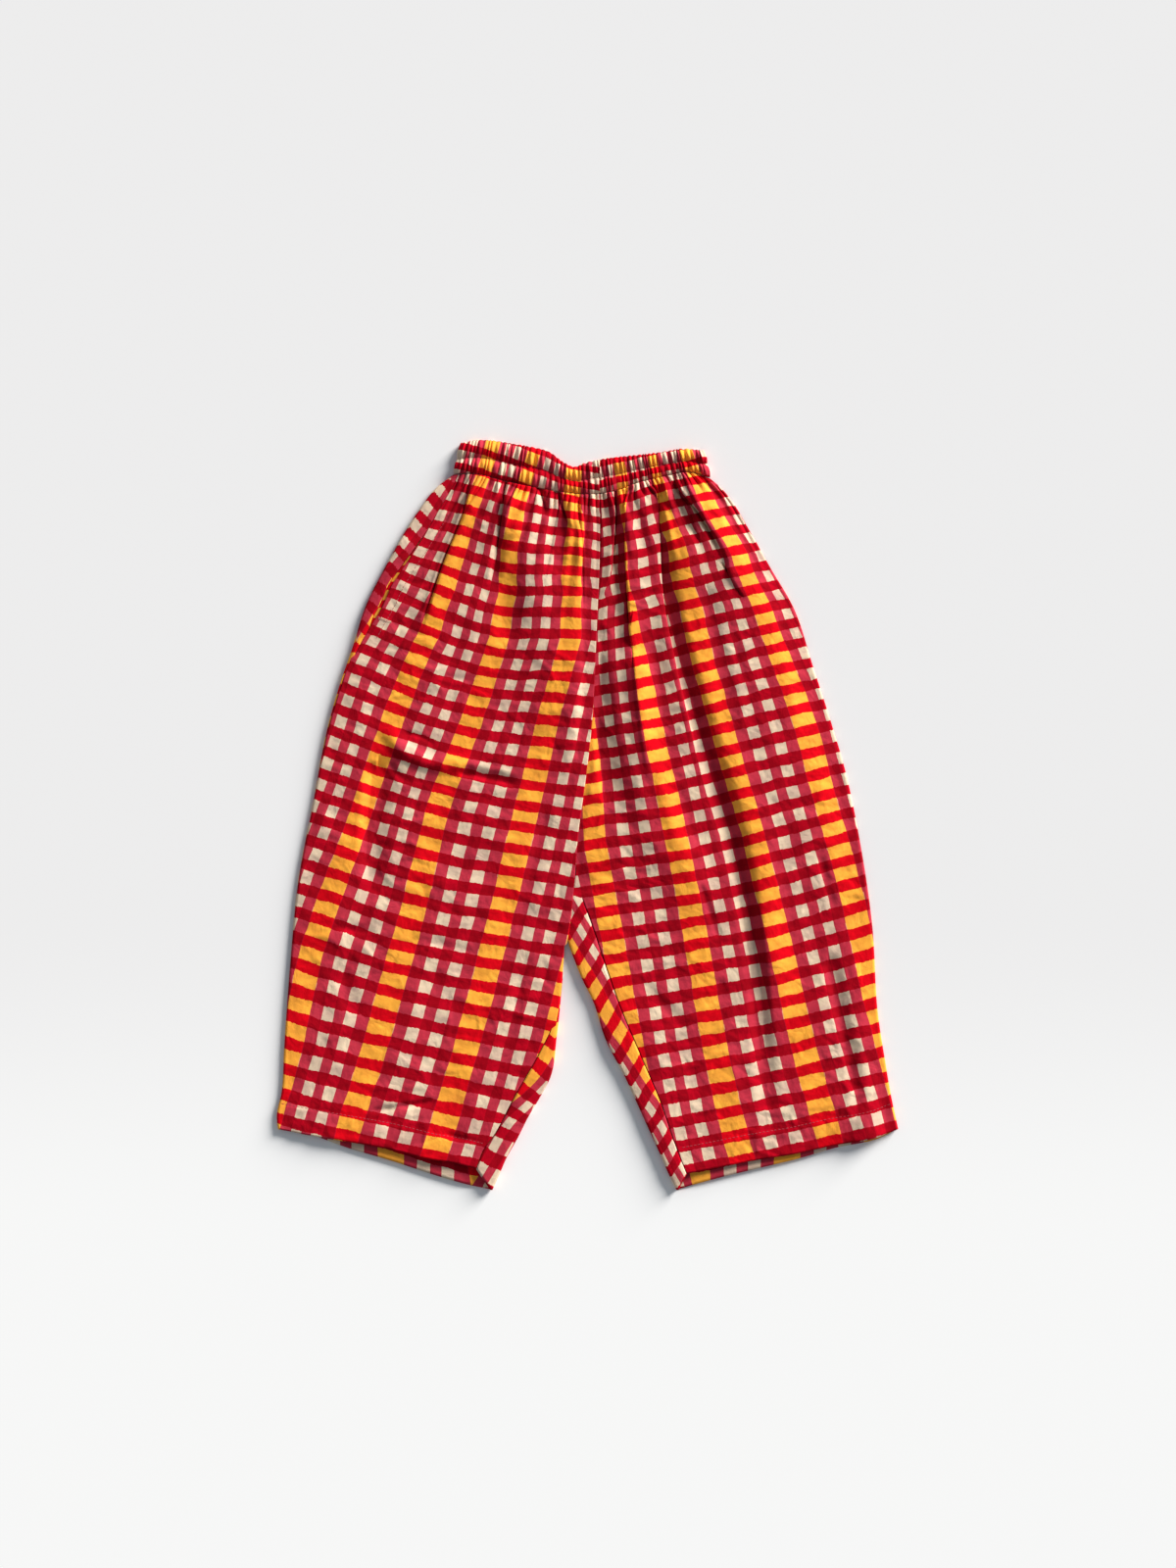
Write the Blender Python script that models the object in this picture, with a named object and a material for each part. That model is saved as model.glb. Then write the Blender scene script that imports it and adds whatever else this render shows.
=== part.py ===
"""Child's pull-on wide-leg trousers, laid flat on their back panels.

The frame has +X towards the wearer's left leg, +Y towards the waist and +Z up.
Its origin is on the surface, under the middle of the garment's outline.
Tables and sizes are in millimetres, and each mesh is written in metres.
"""
import math

import bmesh
import bpy
import numpy as np

METRES_PER_MM = 0.001
TO_ORIGIN = (-0.5, -0.6, 0.0)         # brings the middle of the outline over the origin

# ---- driving dimensions -----------------------------------------------------

CLOTH_WALL = 1.0            # one layer of cotton
HEM_WALL = 1.5              # the same layer with its hem turned up inside
HEM_DEPTH = 22.0            # bottom edge to the hem's stitch line
LEG_LENGTH = 575.0          # waistband to hem, along the side seam
SEAM_GAP = 0.3              # between the pieces of a seam
LEG_SEAM_GAP = 0.6          # the same along a row, which meets the inner-leg seam at a slant
EDGE_ROLL = 1.3             # radius at which a leg's cloth rolls over at its edge
FLAT_RUN = 7.0              # the underside's last column before the roll
SEAM_ANGLE = 0.36           # gap of a seam that lies on the roll, in radians
SEAM_FLAT = 15.0            # folds die away over this much beside a seam
WAIST_EASE = 18.0           # folds grow to their full height over this much below the waistband
BOTTOM_LEVEL = 0.5 * CLOTH_WALL                   # middle of the layer underneath
TOP_LEVEL = BOTTOM_LEVEL + 2.0 * EDGE_ROLL        # middle of the layer on top
LOWEST_RISE = -1.2          # a trough's floor stays clear of the back
LAP = 1.5                   # the left front's centre edge reaches under the right's
LAP_DROP = CLOTH_WALL + SEAM_GAP + 0.1
CENTRE_SHELF = {"right": 2.0, "left": LAP}        # flat cloth beside the centre seam
CENTRE_BLEND = {"right": 16.0, "left": 7.0}       # and over how much it meets the open cloth
CENTRE_FADE = {"right": 23.0, "left": 15.0}       # the seam's rise dies away over this at the crotch
HEM_CORNER_START = -200.0   # the strip on top slants down to the back's hem corner from here
HEM_CORNER_FADE = 87.0

BAND_WALL = 2.0             # casing with its elastic
BAND_ROLL = 2.0             # radius at which the waistband turns at its two ends
BAND_LEVEL = 0.5 * BAND_WALL + 2.0 * BAND_ROLL
BAND_PUFF = 0.9             # how far each elastic channel swells
PUFF_ROUND = 0.6            # below 1 makes a channel's swell rounder
BAND_STITCH = 0.52          # the stitch line between the channels, as a share of the height
GATHER_PITCH = 3.8          # one gather of the waist
GATHER_HEIGHT = 1.1         # crest above trough
GATHER_REACH = 26.0         # how far down the fronts the gathers fade out
GATHER_SIDE = 4.0           # and over how much beside a seam
SIDE_AT_WAIST = 0.0135      # right side seam, as a share of the waistband's lower edge
CENTRE_AT_WAIST = 0.566     # centre-front seam, as a share of the waistband's lower edge
BACK_CENTRE_AT_WAIST = 0.534
BACK_WAIST_GAP = 0.8        # the backs have straight steps along the waist, so a little more

POCKET_TOP = 236.0          # ends of the side pocket's mouth, as heights along +Y
POCKET_BOTTOM = 150.0
POCKET_EASE = 14.0          # the mouth opens over this length at each end
POCKET_OPEN = 3.0           # how far the mouth stands off the back's edge
POCKET_LIFT = 1.4           # the mouth's edge lies over the facing
FACING_WIDTH = 11.0
FULLY_OPEN = 0.999

# ---- outlines, (x, y), waist first ---------------------------------------------

WAIST_TOP = ((-102.5, 304), (-92, 306), (-79, 306), (-63, 303.5), (-48, 301), (-31, 296.5),
             (-20, 288.5), (-11, 284.5), (-2, 287.5), (17, 291.5), (40, 294), (61, 296.5),
             (76, 299), (94, 298))
WAIST_LOW = ((-108, 279), (-90, 279), (-67, 273), (-45, 268.5), (-20, 264), (-5, 262.5),
             (10, 263), (25, 265.5), (40, 271), (63, 277), (86, 280), (99, 276))

RIGHT_OUTLINE = ((-108, 279), (-123, 267.5), (-136.5, 250), (-147, 234), (-165, 202), (-181, 170),
                 (-191, 138), (-202, 106), (-211, 74), (-223.5, 10), (-235.5, -54), (-242, -120),
                 (-247, -190), (-249, -225), (-253, -246), (-252, -255.5))
RIGHT_SIDE_SEAM = ((-105.2, 278.3), (-109, 270), (-119.5, 252), (-129, 235.5), (-139, 219.5),
                   (-151, 201), (-160, 187), (-167, 171), (-176, 155.5), (-184, 142), (-195, 119),
                   (-209.5, 72), (-222.5, 10), (-235, -54), (-242, -120), (-247, -190), (-249, -225),
                   (-253, -246), (-252, -255.5))
RIGHT_FRONT_INNER = ((10, 262.6), (10, 218), (7.5, 154), (3, 68.5), (-2, 26), (-7.5, -14), (-11, -58),
                     (-15, -94), (-19.5, -118), (-22, -142), (-24.5, -160), (-30, -174),
                     (-40.5, -195), (-60.5, -230), (-77, -261), (-85, -272), (-91, -287.5))
RIGHT_BACK_INNER = ((3, 264), (0, 150), (-4, 50), (-10.6, -45), (-18, -80), (-18.5, -102), (-20, -118),
                    (-21, -134), (-22.5, -152), (-25.5, -180), (-31, -214), (-39.5, -230),
                    (-49, -246), (-57, -262), (-67, -280), (-73, -294), (-78, -305))
RIGHT_FRONT_HEM = ((-252, -255.5), (-223.5, -261), (-187, -267), (-158, -272.5), (-132.5, -279),
                   (-106, -283.5), (-91, -287.5))
RIGHT_BACK_HEM = ((-252, -255.5), (-223, -261), (-198, -270), (-161, -281), (-124.5, -293),
                  (-97, -301), (-78, -305))

LEFT_OUTLINE = ((99, 275.5), (108.5, 267.5), (116.5, 258), (131, 234), (149, 202), (167.5, 170),
                (183.5, 122), (199, 74), (208.5, 42), (222, -22), (231.5, -86), (237, -166),
                (242, -198), (247.5, -230), (253, -255.5))
LEFT_FRONT_INNER = ((8.5, 262.4), (8.5, 218), (6, 154), (1.5, 68.5), (-3.5, 26), (-9, -14),
                    (-9.4, -43), (-3, -70), (3, -86), (15, -122), (27.5, -157), (43.5, -195),
                    (60.5, -235), (70, -263), (75.5, -278), (81, -291.5))
LEFT_BACK_INNER = ((3.4, 264), (0.4, 150), (-3.6, 50), (-9.4, -45), (-15.6, -80), (-15.5, -102),
                   (-10, -118), (-3.5, -134), (4.5, -150), (15, -182), (31.5, -214), (46, -246),
                   (60.5, -278), (67.5, -294), (73, -305))
LEFT_FRONT_HEM = ((253, -255.5), (235.5, -262), (201, -268.5), (171.5, -275), (135, -281),
                  (104.5, -287), (81, -291.5))
LEFT_BACK_HEM = ((253, -255.5), (240.5, -262), (201, -271), (174, -279), (135, -288.5),
                 (100.5, -297), (73, -305))

CROTCH = -45.0              # where the four leg seams meet
LEGS_PART = -105.0          # below this the two legs lie clear of each other

# How far each back's edge has turned over, from 0 (flat underneath) to 1 (a strip on
# top, out to the seam): (height along +Y, share of the half turn).
TURNS = {
    ("right", "outer"): ((130, 1.0), (90, 0.8), (20, 0.55), (-60, 0.35), (-120, 0.0)),
    ("right", "inner"): ((LEGS_PART, 0.0), (-130, 0.35), (-152, 0.65), (-172, 1.0)),
    ("left", "outer"): ((0, 0.0), (1, 0.0)),
    ("left", "inner"): ((CROTCH, 0.0), (-66, 1.0)),
}

# ---- the largest folds -----------------------------------------------------------
# Each row is a ridge, or a trough with negative heights, along a path in plan:
# name, path, height at its start, height at its end, width of its -X side, width of
# its +X side, and lean: the crest moves to +X by this share of its height.

RIGHT_FOLDS = (
    ("side pleat", ((-94, 268), (-95, 235), (-105, 205), (-125, 165), (-148, 130)), 3.4, 0.5, 5, 20, -0.6),
    ("middle pleat", ((-63, 268), (-65, 235), (-67, 210), (-70, 170)), 3.6, 0.5, 5, 16, -0.6),
    ("small pleat", ((-36, 266), (-24, 245), (-12, 226), (-8, 200)), 2.0, 0.5, 5, 12, -0.3),
    ("centre pleat", ((-9, 260), (-6, 205), (-6, 150), (-8, 100), (-17, 50), (-30, 0)),
     3.0, 0.6, 32, 8, 0.2),
    ("soft hollow", ((-43, 200), (-46, 160), (-50, 125)), -1.8, -0.8, 15, 13, 0.0),
    ("knee hollow", ((-155, 40), (-160, -20), (-158, -75)), -1.3, -0.6, 14, 14, 0.0),
    ("thigh crease", ((-162, 70), (-145, 54), (-118, 48)), 1.5, 0.6, 9, 9, 0.0),
)
LEFT_FOLDS = (
    ("centre lap", ((20, 258), (22, 240), (14, 206), (8.5, 172)), 1.8, 1.0, 9, 5, 0.2),
    ("deep valley", ((27, 250), (25, 200), (23, 155), (28, 110), (35, 60), (42, 20)),
     -2.8, -0.6, 10, 10, 0.0),
    ("leaning pleat", ((37, 262), (38, 197), (40, 160), (44, 120), (50, 75), (58, 20)),
     4.0, 0.8, 6, 20, -0.6),
    ("long pleat", ((74, 266), (80, 200), (90, 145), (106, 90), (122, 30), (138, -50), (147, -140),
                    (150, -215)), 3.6, 0.8, 13, 26, -0.3),
    ("high pleat", ((80, 272), (100, 245), (115, 215), (124, 180)), 2.8, 0.6, 6, 14, -0.5),
    ("hip pleat", ((91, 266), (118, 232), (134, 195)), 2.0, 0.6, 6, 12, -0.3),
    ("shin hollow", ((55, 20), (70, -40), (74, -80)), -1.2, -0.5, 13, 13, 0.0),
)
FOLD_STEPS = 16             # straight steps that a fold's path is measured along
FOLD_END = 0.27             # a fold dies away over this last share of its path
FOLD_AT_WAIST = 0.3         # share of its height that a fold has at the waistband

# How far the upper layer stands over its level: (height along +Y, rise), for the
# open cloth and for the centre-front seam down to the crotch.
LOFT = ((265, 1.9), (215, 2.2), (150, 1.8), (60, 1.2), (-40, 0.9), (-150, 0.7), (-300, 1.0))
CENTRE_LOFT = ((265, 2.0), (218, 3.2), (154, 3.4), (68, 3.0), (0, 2.3), (-45, 1.7), (-100, 1.6),
               (-128, 0.0), (-300, 0.0))

# ---- mesh resolution ---------------------------------------------------------------

GATHER_ROWS = (0.0, 0.012, 0.026, 0.046)      # shares of the leg; these keep every column
LEG_ROWS = 20
EXTRA_ROWS = {"right": (0.755,), "left": (0.540, 0.549, 0.558, 0.567)}    # where an edge turns over
HEM_LINE = 1.0 - HEM_DEPTH / LEG_LENGTH
HEM_STEP = 0.5 / LEG_LENGTH                   # the wall thickens within 1 mm of leg
ROWS = np.concatenate((GATHER_ROWS, np.linspace(GATHER_ROWS[-1], HEM_LINE - HEM_STEP, LEG_ROWS + 1)[1:],
                       (HEM_LINE + HEM_STEP, 1.0)))
EDGE_COLUMNS = np.array((0.0, 0.8, 3.0))      # millimetres in from each edge of a front
SECTION_SAMPLES = 401
OUTLINE_SAMPLES = 400
FACING_COLUMNS = 3
UNDER_COLUMNS = 5
ROLL_COLUMNS = 4
STRIP_COLUMNS = 2
BAND_ROWS = (0.0, 0.12, 0.28, 0.42, BAND_STITCH, 0.62, 0.80, 1.0)
BAND_BACK_COLUMNS = 14
BAND_END_COLUMNS = 4
SHARP_ANGLE = math.radians(50)

COLOURS = {
    "front": (0.56, 0.020, 0.030),
    "back": (0.46, 0.016, 0.030),
    "waistband": (0.42, 0.020, 0.035),
    "facing": (0.90, 0.36, 0.050),
}
COTTON_ROUGHNESS = 0.9


# ---- curves and fields -----------------------------------------------------

def smooth_curve(points):
    """A smooth curve through the points, as a function of the fraction along it."""
    knots = np.array(points, dtype=float)
    steps = np.linalg.norm(np.diff(knots, axis=0), axis=1)
    place = np.concatenate(([0.0], np.cumsum(steps))) / steps.sum()
    slopes = np.gradient(knots, place, axis=0)

    def at(fraction):
        t = np.clip(np.asarray(fraction, dtype=float), 0.0, 1.0)
        k = np.clip(np.searchsorted(place, t, side="right") - 1, 0, len(place) - 2)
        span = (place[k + 1] - place[k])[..., None]
        s = (t - place[k])[..., None] / span
        keep = (1 + 2 * s) * (1 - s) ** 2
        return (keep * knots[k] + (1 - keep) * knots[k + 1]
                + span * (s * (1 - s) ** 2 * slopes[k] - s ** 2 * (1 - s) * slopes[k + 1]))
    return at


def ease(value):
    """Smooth step from 0 to 1."""
    t = np.clip(value, 0.0, 1.0)
    return t * t * (3.0 - 2.0 * t)


def by_height(table, y):
    """A table of (height along +Y, value), read at y."""
    rows = np.array(sorted(table), dtype=float)
    return np.interp(y, rows[:, 0], rows[:, 1])


def outline_x(points, y):
    """Where an outline crosses the height y."""
    rows = smooth_curve(points)(np.linspace(0.0, 1.0, OUTLINE_SAMPLES))
    order = np.argsort(rows[:, 1])
    return np.interp(y, rows[order, 1], rows[order, 0])


def panel_plan(outer, inner, top, bottom):
    """Plan of a panel between its four edges, at fractions a (outer to inner) of the row v."""
    def at(a, v):
        across = np.asarray(a, dtype=float)[:, None]
        sides = (1 - across) * outer(v) + across * inner(v)
        top_bow = top(a) - (1 - across) * top(0.0) - across * top(1.0)
        bottom_bow = bottom(a) - (1 - across) * bottom(0.0) - across * bottom(1.0)
        return sides + (1 - v) * top_bow + v * bottom_bow
    return at


def fold_shape(x, y, fold):
    """Height of one fold at plan points, and how far it leans in x and y."""
    _, path, start_height, end_height, left, right, lean = fold
    line = smooth_curve(path)(np.linspace(0.0, 1.0, FOLD_STEPS + 1))
    start = line[:-1]
    step = line[1:] - start
    offset = np.stack([x, y], axis=-1)[:, None, :] - start
    along = np.clip((offset * step).sum(-1) / (step ** 2).sum(-1), 0.0, 1.0)
    distance = np.linalg.norm(offset - along[..., None] * step, axis=-1)
    nearest = distance.argmin(axis=1)
    each = np.arange(len(x))
    place = (nearest + along[each, nearest]) / len(step)
    cross = step[nearest, 0] * offset[each, nearest, 1] - step[nearest, 1] * offset[each, nearest, 0]
    width = np.where(cross > 0, right, left)      # the path runs down, so +X is on its left hand
    bump = np.cos(0.5 * math.pi * np.clip(distance[each, nearest] / width, 0.0, 1.0)) ** 2
    height = (start_height + (end_height - start_height) * place) * bump
    height = height * ease((1.0 - place) / FOLD_END)
    heading = step[nearest] / np.linalg.norm(step[nearest], axis=1, keepdims=True)
    return height, -heading[:, 1] * lean * height, heading[:, 0] * lean * height


def on_roll(distance):
    """How far a roll's upper side stands below the top level, in from its outline."""
    inside = np.clip(1.0 - distance / EDGE_ROLL, 0.0, 1.0)
    return EDGE_ROLL * (1.0 - np.sqrt(1.0 - inside ** 2))


# ---- meshes -----------------------------------------------------------------

def cotton(name, colour):
    made = bpy.data.materials.new(name)
    made.use_nodes = True
    shader = made.node_tree.nodes["Principled BSDF"]
    shader.inputs["Base Color"].default_value = (*colour, 1.0)
    shader.inputs["Roughness"].default_value = COTTON_ROUGHNESS
    shader.inputs["Metallic"].default_value = 0.0
    made.diffuse_color = (*colour, 1.0)
    return made


def add_solid(name, points, faces, cloth):
    """An object from points in millimetres, with its faces turned outwards."""
    mesh = bpy.data.meshes.new(name)
    placed = (np.asarray(points) + TO_ORIGIN) * METRES_PER_MM
    mesh.from_pydata([tuple(p) for p in placed], [], faces)
    shell = bmesh.new()
    shell.from_mesh(mesh)
    bmesh.ops.recalc_face_normals(shell, faces=shell.faces)
    shell.to_mesh(mesh)
    shell.free()
    mesh.shade_smooth()
    mesh.set_sharp_from_angle(angle=SHARP_ANGLE)
    mesh.materials.append(cloth)
    thing = bpy.data.objects.new(name, mesh)
    bpy.context.scene.collection.objects.link(thing)
    return thing


def strip_faces(upper, lower):
    """Faces between two rows of points, the lower with as many or with half as many."""
    if len(upper) == len(lower):
        return [(upper[j], lower[j], lower[j + 1], upper[j + 1]) for j in range(len(upper) - 1)]
    faces = []
    for j in range(len(lower) - 1):
        a, b, c = upper[2 * j:2 * j + 3]
        faces += [(a, lower[j], b), (b, lower[j], lower[j + 1]), (b, lower[j + 1], c)]
    return faces


def sheet_solid(name, outside, inside, full_rows, cloth):
    """A closed sheet between two grids of points of shape (rows, columns, 3).

    The first full_rows rows keep all their columns, and the others every second one.
    """
    rows, columns = outside.shape[:2]
    points = []
    layers = []
    for grid in (outside, inside):
        layer = []
        for i in range(rows):
            kept = grid[i, ::1 if i < full_rows else 2]
            layer.append(list(range(len(points), len(points) + len(kept))))
            points.extend(kept)
        layers.append(layer)
    faces = []
    for layer in layers:
        for upper, lower in zip(layer[:-1], layer[1:]):
            faces += strip_faces(upper, lower)
    loops = []
    for layer in layers:
        right = [row[-1] for row in layer[1:-1]]
        left = [row[0] for row in layer[1:-1]]
        loops.append(layer[0] + right + layer[-1][::-1] + left[::-1])
    outer_loop, inner_loop = loops
    for k in range(len(outer_loop)):
        n = (k + 1) % len(outer_loop)
        faces.append((outer_loop[k], outer_loop[n], inner_loop[n], inner_loop[k]))
    return add_solid(name, points, faces, cloth)


def hem_share(v):
    """0 above the hem's stitch line, 1 below it."""
    return np.clip((v - HEM_LINE) * LEG_LENGTH + 0.5, 0.0, 1.0)


def walls(middle, normal, v_rows):
    """Outer and inner faces of a wall whose hem is turned up on its inner side."""
    wall = CLOTH_WALL + (HEM_WALL - CLOTH_WALL) * hem_share(v_rows)
    outside = middle + 0.5 * CLOTH_WALL * normal
    return outside, outside - wall[:, None, None] * normal


# ---- panels -------------------------------------------------------------------

class Leg:
    """The edges of one leg's two panels, and which way its cloth runs."""

    def __init__(self, side):
        right = side == "right"
        self.side = side
        self.inward = 1.0 if right else -1.0          # from the side seam to the centre, along X
        self.outline = RIGHT_OUTLINE if right else LEFT_OUTLINE
        self.back_inner = RIGHT_BACK_INNER if right else LEFT_BACK_INNER
        self.side_seam = smooth_curve(RIGHT_SIDE_SEAM if right else LEFT_OUTLINE)
        self.inner_seam = smooth_curve(RIGHT_FRONT_INNER if right else LEFT_FRONT_INNER)
        self.corner_drop = self.inner_seam(1.0)[1] - self.back_inner[-1][1]
        self.front_hem = smooth_curve(RIGHT_FRONT_HEM if right else LEFT_FRONT_HEM)
        self.back_hem = smooth_curve(RIGHT_BACK_HEM if right else LEFT_BACK_HEM)
        self.folds = RIGHT_FOLDS if right else LEFT_FOLDS
        self.leg_top = LEGS_PART if right else CROTCH
        self.centre_fade = CENTRE_FADE[side]
        self.shelf = CENTRE_SHELF[side]
        self.centre_blend = CENTRE_BLEND[side]
        self.centre_drop = 0.0 if right else LAP_DROP
        self.rows = np.sort(np.concatenate((ROWS, EXTRA_ROWS[side])))

    def turn(self, v, edge):
        """Share of the half turn that the back's edge has made at the row v."""
        seam = self.side_seam(v) if edge == "outer" else self.inner_seam(v)
        return float(by_height(TURNS[self.side, edge], seam[1]))

    def corner(self, v, edge):
        """Point of the outline at the row v."""
        if edge == "outer":
            y = self.side_seam(v)[1]
            return np.array([outline_x(self.outline, y), y])
        y = self.inner_seam(v)[1]
        y = y - self.corner_drop * ease((HEM_CORNER_START - y) / HEM_CORNER_FADE)
        return np.array([outline_x(self.back_inner, y), y])

    def seam(self, v, edge):
        """Plan point of the front's edge at the row v."""
        point = self.side_seam(v) if edge == "outer" else self.inner_seam(v)
        turn = self.turn(v, edge)
        if turn >= 1.0 or (edge == "inner" and point[1] > self.leg_top):
            return point
        start = self.corner(v, edge)[0]
        step = EDGE_ROLL * (1.0 - math.cos(self.front_angle(v, edge)))
        return np.array([start + step * self.inward * (1 if edge == "outer" else -1), point[1]])

    def front_angle(self, v, edge):
        """Angle on the roll of the front's edge: 0 at the outline, half pi on top."""
        back_angle = math.pi * (self.turn(v, edge) - 0.5)
        return min(max(back_angle + SEAM_ANGLE, 0.0), 0.5 * math.pi)

    def on_centre(self, v):
        """1 where the row ends at the centre seam, 0 where it ends on the leg."""
        return float(ease((self.inner_seam(v)[1] - self.leg_top) / self.centre_fade + 1.0))

    def waist(self, start, end, gap):
        """Waist edge of a panel between two places along the waistband's lower edge."""
        curve = smooth_curve(WAIST_LOW)
        return lambda a: curve(start + (end - start) * np.asarray(a, dtype=float)) - (0.0, gap)

    def waist_fade(self, v, over):
        """0 at the waistband, 1 from a distance below it."""
        return float(ease(v * LEG_LENGTH / over))


def mouth(y):
    """How far the pocket's mouth is open at a height along the side seam."""
    return ease((POCKET_TOP - y) / POCKET_EASE) * ease((y - POCKET_BOTTOM) / POCKET_EASE)


def front_section(leg, plan, v, a):
    """Middle of a front's wall along the row v."""
    flat = plan(a, v)
    x, y = flat[:, 0], flat[:, 1]
    outer, inner = leg.seam(v, "outer"), leg.seam(v, "inner")
    from_outer = np.abs(x - outer[0])
    from_inner = np.abs(x - inner[0])
    on_centre = leg.on_centre(v)
    near_seam = (1.0 - ease((from_inner - leg.shelf) / leg.centre_blend)) * on_centre
    free = ease(from_outer / SEAM_FLAT) * np.maximum(ease(from_inner / SEAM_FLAT), on_centre)
    below_waist = leg.waist_fade(v, WAIST_EASE)
    rise = by_height(LOFT, y)
    lean = np.zeros_like(flat)
    for fold in leg.folds:
        height, lean_x, lean_y = fold_shape(x, y, fold)
        rise = rise + height * (FOLD_AT_WAIST + (1.0 - FOLD_AT_WAIST) * below_waist)
        lean = lean + np.stack([lean_x, lean_y], axis=-1) * below_waist
    rise = np.maximum(rise, LOWEST_RISE) * free
    rise = rise + (by_height(CENTRE_LOFT, y) - leg.centre_drop - rise) * near_seam
    rise = rise - on_roll(np.abs(x - leg.corner(v, "outer")[0]))
    rise = rise - on_roll(np.abs(x - leg.corner(v, "inner")[0])) * (1.0 - on_centre)
    if leg.side == "right":
        rise = rise + POCKET_LIFT * mouth(outer[1]) * (1.0 - ease((from_outer - FACING_WIDTH) / SEAM_FLAT))
    moved = flat + lean * (free * (1.0 - near_seam))[:, None]
    return np.column_stack([moved, TOP_LEVEL + rise])


def front_normals(leg, middle):
    """Normals of a front's wall; at a rolled edge they follow the roll."""
    normal = leg.inward * np.cross(np.gradient(middle, axis=0), np.gradient(middle, axis=1))
    normal[0, :, 1] = 0.0                       # square to the waistband
    normal /= np.linalg.norm(normal, axis=-1, keepdims=True)
    for i, v in enumerate(leg.rows):
        for column, edge in ((0, "outer"), (-1, "inner")):
            if edge == "inner" and leg.on_centre(v) > 0.5:
                continue
            angle = leg.front_angle(v, edge)
            outward = -leg.inward if edge == "outer" else leg.inward
            normal[i, column] = (outward * math.cos(angle), 0.0, math.sin(angle))
    return normal


def front_panel(leg, waist_start, waist_end, cloth):
    """One front, from its side seam to its centre and inner-leg seams."""
    def outer(v):
        return leg.seam(v, "outer")

    def inner(v):
        return leg.seam(v, "inner")

    plan = panel_plan(outer, inner, leg.waist(waist_start, waist_end, SEAM_GAP), leg.front_hem)
    waves = round(np.linalg.norm(inner(0.0) - outer(0.0)) / GATHER_PITCH)
    even = np.linspace(0.0, 1.0, SECTION_SAMPLES)
    half_steps = np.arange(2 * waves + 1) / 2.0
    crest = 0.5 * GATHER_HEIGHT * np.cos(math.pi * np.arange(2 * waves + 1))
    rows = []
    for v in leg.rows:
        section = front_section(leg, plan, v, even)
        run = np.concatenate(([0.0], np.cumsum(np.linalg.norm(np.diff(section, axis=0), axis=1))))
        crowd = leg.waist_fade(v - GATHER_ROWS[1], 2.0 * GATHER_REACH)
        spread = crowd * run / run[-1] + (1.0 - crowd) * even
        side = EDGE_COLUMNS / np.linalg.norm(inner(v) - outer(v))
        start, end = np.interp((side[-1], 1.0 - side[-1]), even, spread)
        open_cloth = np.interp(np.linspace(start, end, waves + 3 - 2 * len(side)), spread, even)
        stations = np.concatenate((side[:-1], open_cloth, 1.0 - side[-2::-1]))
        stations = np.interp(half_steps, np.arange(waves + 1), stations)
        row = front_section(leg, plan, v, stations)
        to_seam = np.minimum(np.abs(row[:, 0] - inner(v)[0]), np.abs(row[:, 0] - outer(v)[0]))
        row[:, 2] += crest * (1.0 - leg.waist_fade(v, GATHER_REACH)) * ease((to_seam - LAP) / GATHER_SIDE)
        rows.append(row)
    middle = np.array(rows)
    outside, inside = walls(middle, front_normals(leg, middle), leg.rows)
    return sheet_solid("front_" + leg.side, outside, inside, len(GATHER_ROWS), cloth)


def rolled_side(leg, v, edge, near):
    """Points and normals of the back's edge at the row v, from the underside to its seam."""
    corner, seam, turn = leg.corner(v, edge), leg.seam(v, edge), leg.turn(v, edge)
    inward = (near - corner) / np.linalg.norm(near - corner)
    gap = SEAM_GAP if edge == "outer" else LEG_SEAM_GAP
    if (leg.side, edge) == ("right", "outer"):
        gap = gap + (POCKET_OPEN - SEAM_GAP) * float(mouth(seam[1]))
    top = corner + inward * EDGE_ROLL
    strip = seam - top
    strip_length = max(np.linalg.norm(strip) - gap, 0.0) if turn >= 1.0 else 0.0
    arc = math.pi * EDGE_ROLL * turn
    whole = FLAT_RUN + arc + strip_length
    turned = [FLAT_RUN + arc * k / ROLL_COLUMNS for k in range(ROLL_COLUMNS + 1)]
    turned += [FLAT_RUN + arc + strip_length * k / STRIP_COLUMNS for k in range(1, STRIP_COLUMNS + 1)]
    places = (1.0 - turn) * np.linspace(0.0, whole, len(turned)) + turn * np.array(turned)
    points, normals = [], []
    flat_shift = EDGE_ROLL * max(0.0, 1.0 - 2.0 * turn)       # an unturned edge lies out at the outline
    for place in places:
        if place <= FLAT_RUN:
            out = EDGE_ROLL + FLAT_RUN - place - flat_shift * place / FLAT_RUN
            points.append((*(corner + inward * out), BOTTOM_LEVEL))
            normals.append((0.0, 0.0, -1.0))
        elif place <= FLAT_RUN + arc or strip_length == 0.0:
            angle = (place - FLAT_RUN) / EDGE_ROLL
            out = EDGE_ROLL * (1.0 - math.sin(angle)) - flat_shift
            points.append((*(corner + inward * out), BOTTOM_LEVEL + EDGE_ROLL * (1.0 - math.cos(angle))))
            normals.append((*(-inward * math.sin(angle)), -math.cos(angle)))
        else:
            along = (place - FLAT_RUN - arc) / np.linalg.norm(strip)
            points.append((*(top + strip * along), TOP_LEVEL))
            normals.append((0.0, 0.0, 1.0))
    return np.array(points), np.array(normals)


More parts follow.
